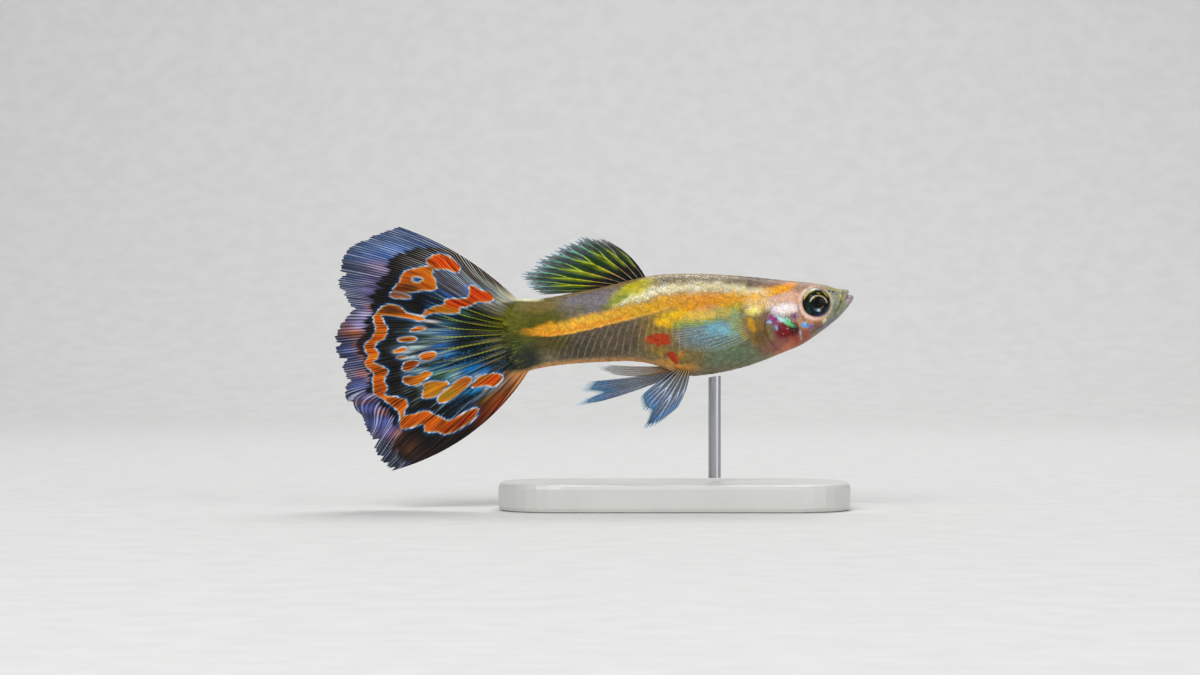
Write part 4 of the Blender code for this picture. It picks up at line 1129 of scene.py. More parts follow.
# Soft colours of the ground between them
GROUND_TONES = (
    (2.2, 0.43, 1.1, 0.13, (0.12, 0.26, 0.46), 1.0),
    (2.3, 0.36, 1.0, 0.035, (0.12, 0.42, 0.80), 0.9),
    (1.5, 0.48, 0.4, 0.06, (0.16, 0.36, 0.56), 0.8),
    (2.5, 0.44, 0.22, 0.10, (0.03, 0.05, 0.09), 0.8),
    (3.15, 0.42, 0.32, 0.06, (0.10, 0.44, 0.80), 1.0),
    (3.7, 0.50, 0.5, 0.05, (0.02, 0.10, 0.20), 0.8),
    (4.4, 0.53, 0.7, 0.03, (0.06, 0.34, 0.56), 0.8),
    (1.2, 0.31, 0.30, 0.08, (0.60, 0.78, 0.88), 0.9),
    (0.9, 0.20, 0.6, 0.06, (0.74, 0.80, 0.76), 0.95),
    (1.6, 0.19, 0.5, 0.03, (0.62, 0.74, 0.74), 0.8),
    (0.8, 0.36, 0.5, 0.14, (0.36, 0.42, 0.42), 0.9),
    (0.3, 0.50, 0.4, 0.30, (0.16, 0.12, 0.10), 0.8),
    (2.7, 0.26, 0.7, 0.03, (0.16, 0.40, 0.34), 0.6),
    (4.5, 0.36, 0.7, 0.03, (0.24, 0.38, 0.26), 0.7),
    (5.72, 0.54, 0.10, 0.07, (0.92, 0.86, 0.84), 0.95),
    (5.7, 0.47, 0.30, 0.05, (0.08, 0.42, 0.52), 0.8),
    (5.2, 0.48, 0.25, 0.09, (0.05, 0.26, 0.34), 0.8),
    (6.5, 0.46, 0.45, 0.06, (0.08, 0.44, 0.74), 0.9),
    (6.45, 0.55, 0.16, 0.08, (0.66, 0.84, 0.92), 0.95),
    (6.1, 0.60, 0.15, 0.04, (0.30, 0.46, 0.50), 0.7),
    (7.25, 0.52, 0.13, 0.07, (0.78, 0.92, 0.90), 0.95),
    (7.5, 0.60, 0.16, 0.07, (0.80, 0.92, 0.92), 0.95),
    (7.75, 0.66, 0.14, 0.04, (0.80, 0.86, 0.84), 0.8),
    (6.95, 0.55, 0.22, 0.08, (0.18, 0.30, 0.28), 0.8),
    (7.6, 0.47, 0.35, 0.05, (0.08, 0.42, 0.72), 0.8),
    (8.3, 0.46, 0.40, 0.05, (0.16, 0.52, 0.84), 0.9),
    (8.5, 0.58, 0.22, 0.06, (0.84, 0.94, 0.94), 0.95),
    (8.15, 0.63, 0.25, 0.03, (0.76, 0.88, 0.90), 0.9),
    (9.1, 0.61, 0.16, 0.06, (0.70, 0.86, 0.86), 0.9),
    (8.8, 0.55, 0.16, 0.04, (0.44, 0.52, 0.14), 0.85),
    (9.15, 0.51, 0.45, 0.06, (0.06, 0.42, 0.66), 0.9),
    (9.5, 0.39, 0.8, 0.07, (0.04, 0.26, 0.40), 0.9),
    (9.9, 0.53, 0.42, 0.05, (0.16, 0.46, 0.14), 1.0),
    (10.3, 0.45, 0.42, 0.05, (0.56, 0.86, 0.88), 0.95),
    (10.5, 0.42, 0.25, 0.03, (0.90, 0.94, 0.88), 0.9),
    (10.5, 0.35, 0.55, 0.06, (0.05, 0.54, 0.88), 1.0),
    (10.8, 0.38, 0.25, 0.04, (0.10, 0.64, 0.94), 0.9),
    (11.3, 0.33, 0.28, 0.035, (0.88, 0.94, 0.98), 0.95),
    (11.2, 0.29, 0.45, 0.03, (0.08, 0.56, 0.90), 0.9),
    (11.9, 0.24, 0.60, 0.03, (0.06, 0.36, 0.60), 0.8),
    (10.6, 0.615, 0.5, 0.02, (0.74, 0.84, 0.70), 0.8),
    (12.5, 0.36, 0.24, 0.05, (0.14, 0.66, 0.94), 1.0),
    (12.3, 0.42, 0.20, 0.06, (0.10, 0.48, 0.66), 0.9),
    (12.9, 0.31, 0.25, 0.03, (0.86, 0.92, 0.96), 0.95),
    (13.3, 0.33, 0.18, 0.06, (0.80, 0.86, 0.90), 0.95),
    (13.2, 0.43, 0.12, 0.08, (0.46, 0.56, 0.66), 0.8),
    (12.6, 0.48, 0.3, 0.05, (0.05, 0.20, 0.32), 0.6),
    (13.6, 0.25, 0.28, 0.06, (0.72, 0.70, 0.66), 0.9),
    (13.75, 0.36, 0.16, 0.07, (0.74, 0.56, 0.20), 0.85),
    (13.3, 0.47, 0.14, 0.10, (0.04, 0.20, 0.34), 0.8),
    (14.2, 0.16, 0.8, 0.05, (0.50, 0.42, 0.38), 0.8),
    (14.7, 0.31, 0.65, 0.10, (0.74, 0.36, 0.05), 1.0),
    (14.6, 0.38, 0.35, 0.06, (0.48, 0.20, 0.04), 0.8),
    (15.5, 0.30, 0.45, 0.14, (0.76, 0.30, 0.04), 1.0),
    (15.2, 0.44, 0.5, 0.06, (0.52, 0.20, 0.04), 0.9),
    (15.3, 0.58, 0.7, 0.10, (0.20, 0.10, 0.05), 0.9),
    (10.5, 0.68, 1.1, 0.04, (0.17, 0.16, 0.13), 0.8),
    (14.3, 0.84, 1.0, 0.05, (0.40, 0.22, 0.14), 0.9),
    (15.3, 0.80, 0.8, 0.10, (0.22, 0.14, 0.11), 0.9),
    (5.0, 0.83, 0.6, 0.03, (0.16, 0.08, 0.03), 0.7),
    (7.4, 0.87, 0.9, 0.03, (0.26, 0.12, 0.05), 0.8),
    (9.6, 0.865, 0.6, 0.02, (0.24, 0.12, 0.06), 0.7),
    (1.6, 0.70, 0.9, 0.05, (0.14, 0.10, 0.09), 0.7),
)
# Where the blue-violet edge begins: ray, share out
EDGE_LINE = (
    (0.0, 0.66), (0.6, 0.74), (1.2, 0.77), (1.6, 0.755), (2.0, 0.785), (2.45, 0.75), (3.0, 0.80),
    (3.5, 0.79), (4.0, 0.83), (4.6, 0.85), (5.2, 0.87), (5.6, 0.88), (6.1, 0.868), (6.7, 0.87),
    (7.0, 0.905), (7.4, 0.885), (8.0, 0.88), (8.4, 0.905), (8.9, 0.87), (9.5, 0.87), (10.0, 0.90),
    (10.45, 0.84), (11.0, 0.835), (11.6, 0.84), (12.1, 0.845), (12.8, 0.84), (13.2, 0.86), (13.6, 0.90),
    (14.4, 0.915), (16.0, 0.90),
)
EDGE_TONES = (
    (0.9, 0.88, 1.6, 0.30, (0.13, 0.30, 0.50), 1.0),
    (1.3, 0.82, 0.5, 0.08, (0.46, 0.62, 0.90), 0.8),
    (2.0, 0.86, 0.6, 0.10, (0.20, 0.38, 0.66), 0.8),
    (2.5, 0.81, 0.35, 0.07, (0.64, 0.54, 0.68), 0.9),
    (3.3, 0.84, 0.6, 0.06, (0.42, 0.36, 0.54), 0.8),
    (3.9, 0.86, 0.3, 0.06, (0.56, 0.50, 0.72), 0.8),
    (3.6, 0.95, 1.4, 0.07, (0.10, 0.24, 0.44), 0.8),
    (4.8, 0.90, 0.6, 0.05, (0.36, 0.32, 0.46), 0.8),
    (5.6, 0.91, 0.25, 0.05, (0.72, 0.66, 0.86), 0.95),
    (6.3, 0.91, 0.3, 0.05, (0.70, 0.66, 0.88), 0.95),
    (6.65, 0.91, 0.24, 0.06, (0.76, 0.42, 0.18), 0.95),
    (7.3, 0.905, 0.30, 0.03, (0.60, 0.34, 0.20), 0.85),
    (5.2, 0.88, 0.25, 0.03, (0.62, 0.36, 0.22), 0.8),
    (6.4, 0.97, 0.3, 0.03, (0.58, 0.34, 0.24), 0.7),
    (7.6, 0.93, 0.35, 0.04, (0.26, 0.36, 0.60), 0.9),
    (7.85, 0.885, 0.3, 0.03, (0.66, 0.42, 0.36), 0.8),
    (8.4, 0.95, 0.4, 0.05, (0.34, 0.38, 0.52), 0.8),
    (8.85, 0.91, 0.25, 0.05, (0.74, 0.36, 0.14), 0.95),
    (9.15, 0.885, 0.25, 0.03, (0.84, 0.70, 0.74), 0.9),
    (9.5, 0.94, 0.5, 0.06, (0.34, 0.42, 0.70), 0.95),
    (10.5, 0.89, 0.22, 0.06, (0.62, 0.54, 0.74), 0.95),
    (10.85, 0.92, 0.1, 0.07, (0.60, 0.34, 0.22), 0.8),
    (11.3, 0.91, 0.3, 0.06, (0.42, 0.46, 0.80), 0.95),
    (11.7, 0.865, 0.35, 0.03, (0.62, 0.34, 0.18), 0.8),
    (12.3, 0.91, 0.35, 0.07, (0.44, 0.48, 0.84), 0.95),
    (12.9, 0.92, 0.3, 0.06, (0.48, 0.46, 0.80), 0.9),
    (13.2, 0.85, 0.3, 0.05, (0.78, 0.46, 0.36), 0.9),
    (14.0, 0.88, 0.6, 0.05, (0.54, 0.32, 0.22), 0.85),
    (14.0, 0.96, 1.0, 0.05, (0.16, 0.20, 0.28), 0.9),
    (15.3, 0.95, 0.9, 0.06, (0.10, 0.16, 0.22), 0.9),
)


def tail_plane(across, along):
    return fan_place(across, along, tail_root, TAIL_MARGIN, TAIL_BOW)


def outline_distance(points, outline):
    """The distance in MM from each point to a closed outline with rounded corners, negative inside it."""
    corners = np.array(outline)
    before, after = np.roll(corners, 1, axis=0), np.roll(corners, -1, axis=0)
    later = np.roll(corners, -2, axis=0)
    rounded = [corners]
    for t in (1 / 3, 2 / 3):
        curve = corners * 2 + (after - before) * t + (before * 2 - corners * 5 + after * 4 - later) * t**2
        rounded.append((curve + (corners * 3 - before - after * 3 + later) * t**3) / 2)
    rays, shares = np.stack(rounded, axis=1).reshape(-1, 2).T
    corners = tail_plane(rays / TAIL_RAYS, shares)
    nearest = np.full(len(points), 1e9)
    inside = np.zeros(len(points), bool)
    for a, b in zip(corners, np.roll(corners, -1, axis=0)):
        leg = b - a
        t = np.clip(((points - a) @ leg) / (leg @ leg), 0, 1)
        nearest = np.minimum(nearest, np.hypot(*(points - a - t[:, None] * leg).T))
        crosses = (a[1] > points[:, 1]) != (b[1] > points[:, 1])
        at = a[0] + (points[:, 1] - a[1]) * leg[0] / (leg[1] if leg[1] else 1e-9)
        inside ^= crosses & (points[:, 0] < at)
    return np.where(inside, -nearest, nearest)


def tail_marks(across, along):
    """The tail's ground colour, its island colour, and the distance to the islands' edges."""
    ray = across * TAIL_RAYS
    points = tail_plane(across, along)
    island = np.full(len(across), 9.0)
    for outline in TAIL_ISLANDS.values():
        island = np.minimum(island, outline_distance(points, outline))
    island = np.maximum(island, -outline_distance(points, RING_HOLE))

    def tones(colour, table):
        for tone_ray, share, wide, long, over, strength in table:
            colour = lay(colour, over, strength * bump_at(ray, tone_ray, wide) * bump_at(along, share, long))
        return colour

    count = len(across)
    ground = np.tile(np.array(paint(0.020, 0.022, 0.020)), (count, 1))
    green = (1 - ease(along, 0.22, 0.50)) * ease(ray, 1.4, 3.2) * (1 - ease(ray, 12.0, 13.5))
    ground = lay(ground, (0.05, 0.10, 0.04), 0.8 * green)
    olive = (1 - ease(along, 0.14, 0.40)) * ease(ray, 1.4, 3.2) * (1 - ease(ray, 7.0, 10.0))
    ground = lay(ground, (0.15, 0.19, 0.03), 0.85 * olive)
    ground = tones(ground, GROUND_TONES)
    spoke = 0.05 * np.cos(2 * math.pi * (ray - 0.5)) + 0.03 * np.sin(5 * ray) + 0.02 * np.sin(13 * ray)
    fleshy = (1 - ease(along - spoke, 0.10, 0.29))[:, None]
    body = body_marks(np.stack((points[:, 0], np.zeros(count), points[:, 1]), axis=-1))[0]
    ground = ground * (1 - fleshy) + body * fleshy
    edge_rays, edge_shares = np.array(EDGE_LINE).T
    past = along - np.interp(ray, edge_rays, edge_shares)
    edge = tones(np.tile(np.array(paint(0.14, 0.20, 0.36)), (count, 1)), EDGE_TONES)
    marks = tones(np.tile(np.array(paint(0.88, 0.38, 0.04)), (count, 1)), ISLAND_TONES)
    return ground, edge, marks, island, past


def shader_rays(calc, step, ray, along, forks):
    """What fold_rays gives, worked out in a material."""
    off = calc("SUBTRACT", calc("FRACT", ray), 0.5)
    gap = FORK_GAP
    for start in forks:
        spread = calc("MULTIPLY", step(along, start, start + FORK_RUN), gap)
        off = calc("SUBTRACT", calc("ABSOLUTE", off), spread)
        gap /= 2
    return calc("ABSOLUTE", off)


def tail_finish():
    add, finish, blend, step, calc, times, shaded = surface_finish("tail_web")
    ground = add("Attribute", {}, attribute_name="ground")
    edge = add("Attribute", {}, attribute_name="edge")
    marks = add("Attribute", {}, attribute_name="marks")
    island = add("Attribute", {}, 2, attribute_name="island")
    past = add("Attribute", {}, 2, attribute_name="past")
    spread = add("UVMap", {}, uv_map="rays")
    across, along = add("SeparateXYZ", {0: spread}, 0), add("SeparateXYZ", {0: spread}, 1)
    ray = times(across, float(TAIL_RAYS))

    def stretched(ray_scale, along_scale, detail=3.0):
        """Noise drawn out along the rays."""
        place = add("Mapping", {"Vector": spread, "Scale": (ray_scale * TAIL_RAYS, along_scale, 1.0)})
        return add("TexNoise", {"Vector": place, "Scale": 1.0, "Detail": detail, "Roughness": 0.6})

    off = shader_rays(calc, step, ray, along, TAIL_FORKS)
    narrow = step(along, 0.1, 0.85, 0.10, 0.026)
    on_ray = step(calc("DIVIDE", off, narrow), 0.5, 1.3, 1.0, 0.0)

    fine, long_streak, wisp = stretched(8.0, 6.0), stretched(3.0, 2.2), stretched(4.0, 1.6, 5.0)
    line = calc("ADD", island, calc("MULTIPLY_ADD", fine, 0.38, -0.19))
    joints = calc("PINGPONG", times(along, 90.0), 1.0)
    comb = calc("PINGPONG", times(ray, 8.0), 0.5)
    between = step(comb, 0.22, 0.42)
    on_fine = calc("SUBTRACT", 1.0, step(comb, 0.06, 0.26))
    outer = step(along, 0.36, 0.72)
    top_edge = times(step(ray, 0.9, 2.4, 1.0, 0.0), step(along, 0.10, 0.20))
    low_edge = times(step(ray, 12.6, 13.6), step(along, 0.14, 0.24))
    combed = calc("MAXIMUM", outer, calc("MAXIMUM", top_edge, low_edge))

    def darker(share, colour, by):
        return shaded(share, colour, by, by, by)

    strand = stretched(7.0, 3.0, 4.0)
    fan = times(step(along, 0.32, 0.50), step(along, 0.62, 0.74, 1.0, 0.0))
    fan = times(fan, times(step(ray, 4.6, 6.0), step(ray, 13.2, 14.0, 1.0, 0.0)))
    off_root = step(along, 0.13, 0.28, 0.35, 1.0)
    colour = darker(times(step(long_streak, 0.42, 0.60, 0.0, 0.95), off_root), ground, 0.12)
    colour = darker(times(step(strand, 0.36, 0.50, 0.80, 0.0), off_root), colour, 0.20)
    bright_strand = times(step(strand, 0.54, 0.63), times(fan, 0.62))
    colour = blend(bright_strand, colour, blend(0.45, ground, paint(0.78, 0.92, 0.96)))
    root_zone = times(step(along, 0.10, 0.22), step(along, 0.42, 0.58, 1.0, 0.0))
    yellow_rays = times(step(ray, 1.2, 2.6), step(ray, 9.6, 11.0, 1.0, 0.0))
    beaded = step(calc("ADD", joints, calc("MULTIPLY_ADD", fine, 1.2, -0.6)), 0.05, 0.75, 0.55, 1.0)
    beaded = times(beaded, step(strand, 0.34, 0.60, 0.25, 1.0))
    ray_edge = step(along, 0.14, 0.40, 0.15, 0.075)
    thin_ray = step(calc("DIVIDE", off, ray_edge), 0.45, 1.0, 1.0, 0.0)
    yellow = times(times(thin_ray, root_zone), times(yellow_rays, beaded))
    ray_tone = blend(step(along, 0.18, 0.42), paint(0.60, 0.60, 0.08), paint(0.62, 0.66, 0.26))
    colour = blend(times(yellow, 0.9), colour, ray_tone)
    blue_rays = times(step(ray, 5.0, 8.0), step(ray, 12.5, 13.6, 1.0, 0.0))
    blue_zone = times(blue_rays, step(along, 0.50, 0.64, 1.0, 0.0))
    fleck = step(stretched(9.0, 60.0, 1.0), 0.57, 0.66)
    lit = times(times(fleck, blue_zone), step(wisp, 0.42, 0.60))
    colour = blend(times(lit, 0.75), colour, paint(0.16, 0.52, 0.74))
    colour = blend(times(times(on_fine, combed), 0.14), colour, paint(0.42, 0.42, 0.40))
    pale = blend(step(wisp, 0.40, 0.60), paint(0.86, 0.88, 0.84), paint(0.52, 0.40, 0.32))
    leading = times(times(on_fine, top_edge), step(along, 0.58, 0.80, 1.0, 0.0))
    colour = blend(times(leading, 0.75), colour, pale)
    trailing = times(times(between, low_edge), step(along, 0.80, 0.95, 1.0, 0.4))
    colour = darker(times(trailing, 0.7), colour, 0.22)

    edge_line = step(calc("ADD", past, calc("MULTIPLY_ADD", wisp, 0.20, -0.10)), -0.010, 0.012)
    bundle = stretched(1.5, 1.3, 2.0)
    edge_dark = darker(times(between, 0.80), edge, 0.22)
    edge_dark = darker(step(wisp, 0.52, 0.64, 0.0, 0.65), edge_dark, 0.28)
    edge_dark = darker(step(bundle, 0.52, 0.64, 0.0, 0.60), edge_dark, 0.34)
    bright = times(on_fine, step(long_streak, 0.40, 0.60, 1.0, 0.10))
    bright = times(bright, step(bundle, 0.46, 0.60, 1.0, 0.25))
    edge_lit = blend(times(bright, 0.92), edge_dark, blend(0.52, edge, paint(0.92, 0.92, 0.98)))
    colour = blend(edge_line, colour, edge_lit)

    inside_edge = calc("SUBTRACT", 1.0, edge_line)
    glow = times(calc("POWER", step(line, 0.0, 0.36, 1.0, 0.0), 1.6), inside_edge)
    colour = blend(times(glow, step(wisp, 0.38, 0.58, 0.80, 0.30)), colour, paint(0.04, 0.34, 0.60))
    golden = times(step(strand, 0.50, 0.66), 0.55)
    rust = blend(golden, marks, blend(0.6, marks, paint(1.0, 0.72, 0.16)))
    rust = blend(step(line, -0.16, -0.02), rust, blend(0.5, rust, paint(1.0, 0.72, 0.34)))
    rust = darker(times(between, step(long_streak, 0.40, 0.55, 0.35, 1.0)), rust, 0.24)
    rust = darker(step(long_streak, 0.50, 0.64, 0.0, 0.80), rust, 0.22)
    rust = darker(step(strand, 0.38, 0.48, 0.70, 0.0), rust, 0.28)
    colour = blend(step(line, 0.02, -0.01), colour, rust)
    rim = times(step(line, -0.03, 0.015), step(line, 0.055, 0.135, 1.0, 0.0))
    broken = step(calc("ADD", wisp, times(fine, 0.3)), 0.50, 0.74, 1.0, 0.15)
    broken = times(broken, step(bundle, 0.40, 0.62, 1.0, 0.55))
    white = blend(step(line, 0.025, 0.11), paint(0.96, 0.97, 0.94), paint(0.36, 0.74, 0.98))
    colour = blend(times(rim, broken), colour, white)

    relief = calc("MULTIPLY_ADD", on_fine, combed, times(on_ray, 0.6))
    relief = calc("MULTIPLY_ADD", times(on_ray, joints), 0.25, relief)
    relief = calc("MULTIPLY_ADD", fine, 0.4, relief)
    bump = add("Bump", {"Strength": 0.5, "Distance": 0.00003, "Height": relief})
    clear = times(step(past, 0.02, 0.14), times(between, 0.30))
    return finish(
        Base_Color=colour, Roughness=step(fine, 0.3, 0.7, 0.40, 0.58), Normal=bump, Specular_IOR_Level=0.12,
        Alpha=calc("SUBTRACT", 1.0, clear),
    )


sheet, across, along, face = fin_sheet(448, 92)
shape_fin(
    sheet, across, along, face, TAIL_RAYS, TAIL_FORKS, tail_root, TAIL_MARGIN, TAIL_BOW, tail_side,
    lean=tail_lean, torn=tail_tears, web=0.05, relief=0.12, fray=0.012,
)
for layer, values in zip(("ground", "edge", "marks", "island", "past"), tail_marks(across, along)):
    keep_on(sheet, layer, values)
dressed(sheet, "tail_web", tail_finish(), "tail_web", "tail_fin")


# Dorsal fin
# Eight rays rise from a low fleshy ridge on the back and lie back over the tail stem. The web is black
# with lime green along the rays and clears to pale blue at the tips.


def fin_finish(name, rays, forks, web_stops, ray_stops, ray_width=(0.15, 0.05), wedge=0.0, waver=0.22):
    """A web over rays. Each list of stops gives the share out, the colour and how much the fin hides."""
    add, finish, blend, step, calc, times, _ = surface_finish(name)
    spread = add("UVMap", {}, uv_map="rays")
    across, along = add("SeparateXYZ", {0: spread}, 0), add("SeparateXYZ", {0: spread}, 1)
    ray = times(across, float(rays))
    off = shader_rays(calc, step, ray, along, forks)
    on_ray = step(calc("DIVIDE", off, step(along, 0.1, 0.85, *ray_width)), 0.5, 1.4, 1.0, 0.0)
    stretched = add("Mapping", {"Vector": spread, "Scale": (rays * 3.0, 5.0, 1.0)})
    streak = add("TexNoise", {"Vector": stretched, "Scale": 1.0, "Detail": 4.0, "Roughness": 0.65})
    place = calc("ADD", along, calc("MULTIPLY_ADD", streak, 2 * waver, -waver))

    def along_stops(where, stops):
        """A colour ramp through the stops, and its hiding share as a second figure."""
        ramp = add("ValToRGB", {0: where})
        elements = ramp.node.color_ramp.elements
        while len(elements) < len(stops):
            elements.new(0.5)
        for element, (position, colour, hide) in zip(elements, stops):
            element.position = position
            element.color = colour[:3] + (hide,)
        return ramp, ramp.node.outputs[1]

    web, web_hide = along_stops(place, web_stops)
    ray_place = calc("MULTIPLY_ADD", streak, 0.12, calc("SUBTRACT", along, 0.06))
    line, line_hide = along_stops(ray_place, ray_stops)
    if wedge:
        beside = calc("FRACT", calc("ADD", ray, 0.5))
        middle = times(step(place, 0.22, 0.40), step(place, 0.58, 0.78, 1.0, 0.0))
        lit = times(step(beside, 0.10, 0.75, 1.0, 0.0), step(streak, 0.36, 0.58, 0.2, 1.0))
        lit = times(middle, lit)
        lit = times(lit, step(across, 0.86, 0.96, 1.0, 0.25))
        wedge_tone = blend(step(beside, 0.05, 0.55), paint(0.60, 0.66, 0.05), paint(0.13, 0.30, 0.05))
        web = blend(times(lit, wedge), web, wedge_tone)
        comb = calc("PINGPONG", times(ray, 8.0), 0.5)
        hair = times(step(comb, 0.05, 0.28, 1.0, 0.0), step(streak, 0.40, 0.60, 0.1, 1.0))
        web = blend(times(hair, step(place, 0.42, 0.72, 0.12, 0.55)), web, paint(0.36, 0.46, 0.50))
        plain = calc("MAXIMUM", step(across, 0.08, 0.34, 1.0, 0.0), step(across, 0.88, 0.96))
        plain_tone = blend(step(across, 0.3, 0.6), paint(0.62, 0.52, 0.46), paint(0.26, 0.30, 0.30))
        line = blend(times(plain, 0.85), line, plain_tone)
        line = blend(step(streak, 0.38, 0.54, 0.55, 0.0), line, web)
    joints = calc("PINGPONG", times(along, 30.0), 1.0)
    colour = blend(times(on_ray, step(joints, 0.1, 0.7, 0.75, 1.0)), web, line)
    relief = calc("MULTIPLY_ADD", streak, 0.3, times(on_ray, 0.7))
    bump = add("Bump", {"Strength": 0.45, "Distance": 0.00003, "Height": relief})
    hide = calc("ADD", web_hide, times(on_ray, calc("SUBTRACT", line_hide, web_hide)))
    return finish(
        Base_Color=colour, Roughness=step(streak, 0.3, 0.7, 0.38, 0.55), Normal=bump, Specular_IOR_Level=0.15,
        Alpha=hide,
    )


DORSAL_FIRST, DORSAL_LAST = 16.1, 19.1
DORSAL_MARGIN = curve_through(
    (
        (18.3, 6.35), (19.1, 6.95), (19.9, 7.16), (20.9, 7.38), (21.8, 7.22), (22.9, 6.78),
        (24.1, 6.35), (25.0, 5.75), (25.9, 5.15), (26.4, 4.68), (25.85, 4.0), (25.5, 3.45), (24.8, 3.1),
    )
)


def dorsal_root(across):
    behind = DORSAL_FIRST + (DORSAL_LAST - DORSAL_FIRST) * across
    return np.stack((behind, smooth_rows(BODY, behind)[:, 2] - 0.25), axis=-1)


def dorsal_side(across, along, ray):
    pleat = 0.05 * np.sin(2 * math.pi * ray) * ease(along, 0.3, 0.9)
    return 0.30 * np.sin(math.pi * across) * along**2 + pleat


def dorsal_tears(ray):
    return 0.035 * np.abs(np.sin(math.pi * 2 * ray)) + 0.02 * np.sin(5.3 * ray)


sheet, across, along, face = fin_sheet(160, 64)
shape_fin(
    sheet, across, along, face, 8, (0.45, 0.72), dorsal_root, DORSAL_MARGIN, (0.55, -0.15), dorsal_side,
    torn=dorsal_tears, fray=0.09,
)
DORSAL = fin_finish(
    "dorsal_web", 8, (0.45, 0.72),
    ((0.0, paint(0.03, 0.03, 0.03), 0.97),
     (0.30, paint(0.03, 0.05, 0.02), 0.95), (0.50, paint(0.08, 0.20, 0.04), 0.93),
     (0.72, paint(0.05, 0.10, 0.09), 0.80), (1.0, paint(0.12, 0.18, 0.24), 0.45)),
    ((0.0, paint(0.62, 0.60, 0.56), 1.0),
     (0.20, paint(0.74, 0.56, 0.30), 1.0), (0.42, paint(0.84, 0.82, 0.10), 1.0),
     (0.62, paint(0.64, 0.78, 0.12), 1.0),
     (0.76, paint(0.42, 0.72, 0.54), 0.95), (1.0, paint(0.66, 0.78, 0.90), 0.9)),
    ray_width=(0.085, 0.04), wedge=0.95,
)
dressed(sheet, "dorsal_web", DORSAL, "green_web", "dorsal_fin")


# Anal fin
# In the male the anal fin is a slim folded fan of close rays, amber at its root and clear between them,
# that lies back under the belly.
ANAL_ROOT = curve_through(((14.85, -4.15), (15.5, -3.75)))
ANAL_MARGIN = curve_through(((20.45, -3.62), (20.6, -3.45), (21.0, -3.3), (20.9, -3.15), (20.2, -3.08)))


def anal_side(across, along, ray):
    return 0.03 * np.sin(2 * math.pi * ray) * along


sheet, across, along, face = fin_sheet(48, 48)
shape_fin(
    sheet, across, along, face, 5, (0.5,), ANAL_ROOT, ANAL_MARGIN, (-0.85, -0.12), anal_side,
    web=0.04, relief=0.10, fray=0.14,
)
ANAL = fin_finish(
    "anal_web", 5, (0.5,),
    ((0.0, paint(0.50, 0.36, 0.18), 0.95),
     (0.22, paint(0.30, 0.26, 0.20), 0.55), (0.6, paint(0.20, 0.22, 0.24), 0.34),
     (1.0, paint(0.20, 0.24, 0.28), 0.22)),
    ((0.0, paint(0.86, 0.62, 0.30), 1.0),
     (0.4, paint(0.66, 0.50, 0.28), 0.95), (0.8, paint(0.52, 0.50, 0.44), 0.85),
     (1.0, paint(0.44, 0.56, 0.64), 0.8)),
    ray_width=(0.16, 0.07),
)
dressed(sheet, "anal_web", ANAL, "clear_web", "anal_fin")


# Pelvic fins
# Two fans of bright pale rays in a dark blue web. The right one flares down and out from the belly,
# and the left one trails back in two long points.
PELVIC_ROOT = curve_through(((13.55, -4.25), (14.65, -4.05)))
RIGHT_PELVIC = curve_through(
    (
        (15.2, -7.3), (15.75, -7.65), (16.3, -8.0), (17.0, -8.35), (17.85, -8.47), (17.55, -7.9),
        (17.3, -7.3), (17.75, -6.95), (17.85, -6.45), (17.85, -6.0), (17.6, -5.75),
    )
)
LEFT_PELVIC = curve_through(
    (
        (20.6, -5.95), (21.7, -6.1), (23.1, -6.1), (22.5, -5.7), (21.4, -5.4), (21.8, -5.15),
        (22.5, -4.98), (22.2, -4.6), (21.8, -4.25),
    )
)


def pelvic_side(sign, reach):
    def side(across, along, ray):
        return sign * (0.85 + reach * along + 0.06 * np.sin(2 * math.pi * ray) * ease(along, 0.2, 0.8))

    return side


PELVIC = fin_finish(
    "pelvic_web", 7, (0.35, 0.65),
    ((0.0, paint(0.46, 0.38, 0.24), 0.9),
     (0.16, paint(0.09, 0.12, 0.16), 0.66), (0.55, paint(0.07, 0.12, 0.19), 0.56),
     (0.85, paint(0.06, 0.20, 0.38), 0.66), (1.0, paint(0.08, 0.26, 0.46), 0.66)),
    ((0.0, paint(0.80, 0.64, 0.38), 1.0),
     (0.16, paint(0.66, 0.66, 0.64), 1.0), (0.45, paint(0.76, 0.83, 0.94), 1.0),
     (0.78, paint(0.44, 0.68, 0.92), 1.0), (1.0, paint(0.56, 0.86, 0.94), 0.95)),
    ray_width=(0.17, 0.065),
)
for hand, sign, reach, margin, bow in (
    ("right", -1, 3.1, RIGHT_PELVIC, (-0.55, 0.10)),
    ("left", 1, 1.0, LEFT_PELVIC, (-0.25, -0.35)),
):
    sheet, across, along, face = fin_sheet(140, 64)
    shape_fin(
        sheet, across, along, face, 7, (0.35, 0.65), PELVIC_ROOT, margin, bow, pelvic_side(sign, reach),
        web=0.04, relief=0.11, fray=0.12,
    )
    dressed(sheet, f"pelvic_web_{hand}", PELVIC, "blue_web", f"pelvic_fin_{hand}")


# Pectoral fins
# The clear paddles behind the gill covers, swept back a little off the flanks, show as fine pale rays.
PECTORAL_ROOT = curve_through(((8.05, -0.70), (8.55, -1.05), (8.75, -1.55), (8.60, -2.30)))
PECTORAL_MARGIN = curve_through(
    (
        (11.6, 0.75), (12.9, 0.55), (13.9, 0.1), (14.6, -0.6), (14.8, -1.35), (14.4, -2.1), (13.6, -2.7),
        (12.6, -3.0), (11.6, -3.1),
    )
)


def pectoral_side(sign):
    def side(across, along, ray):
        base = 2.12 + 1.75 * (1 - (1 - along) ** 2.2)
        return sign * (base + 0.05 * np.sin(2 * math.pi * ray) * along)

    return side


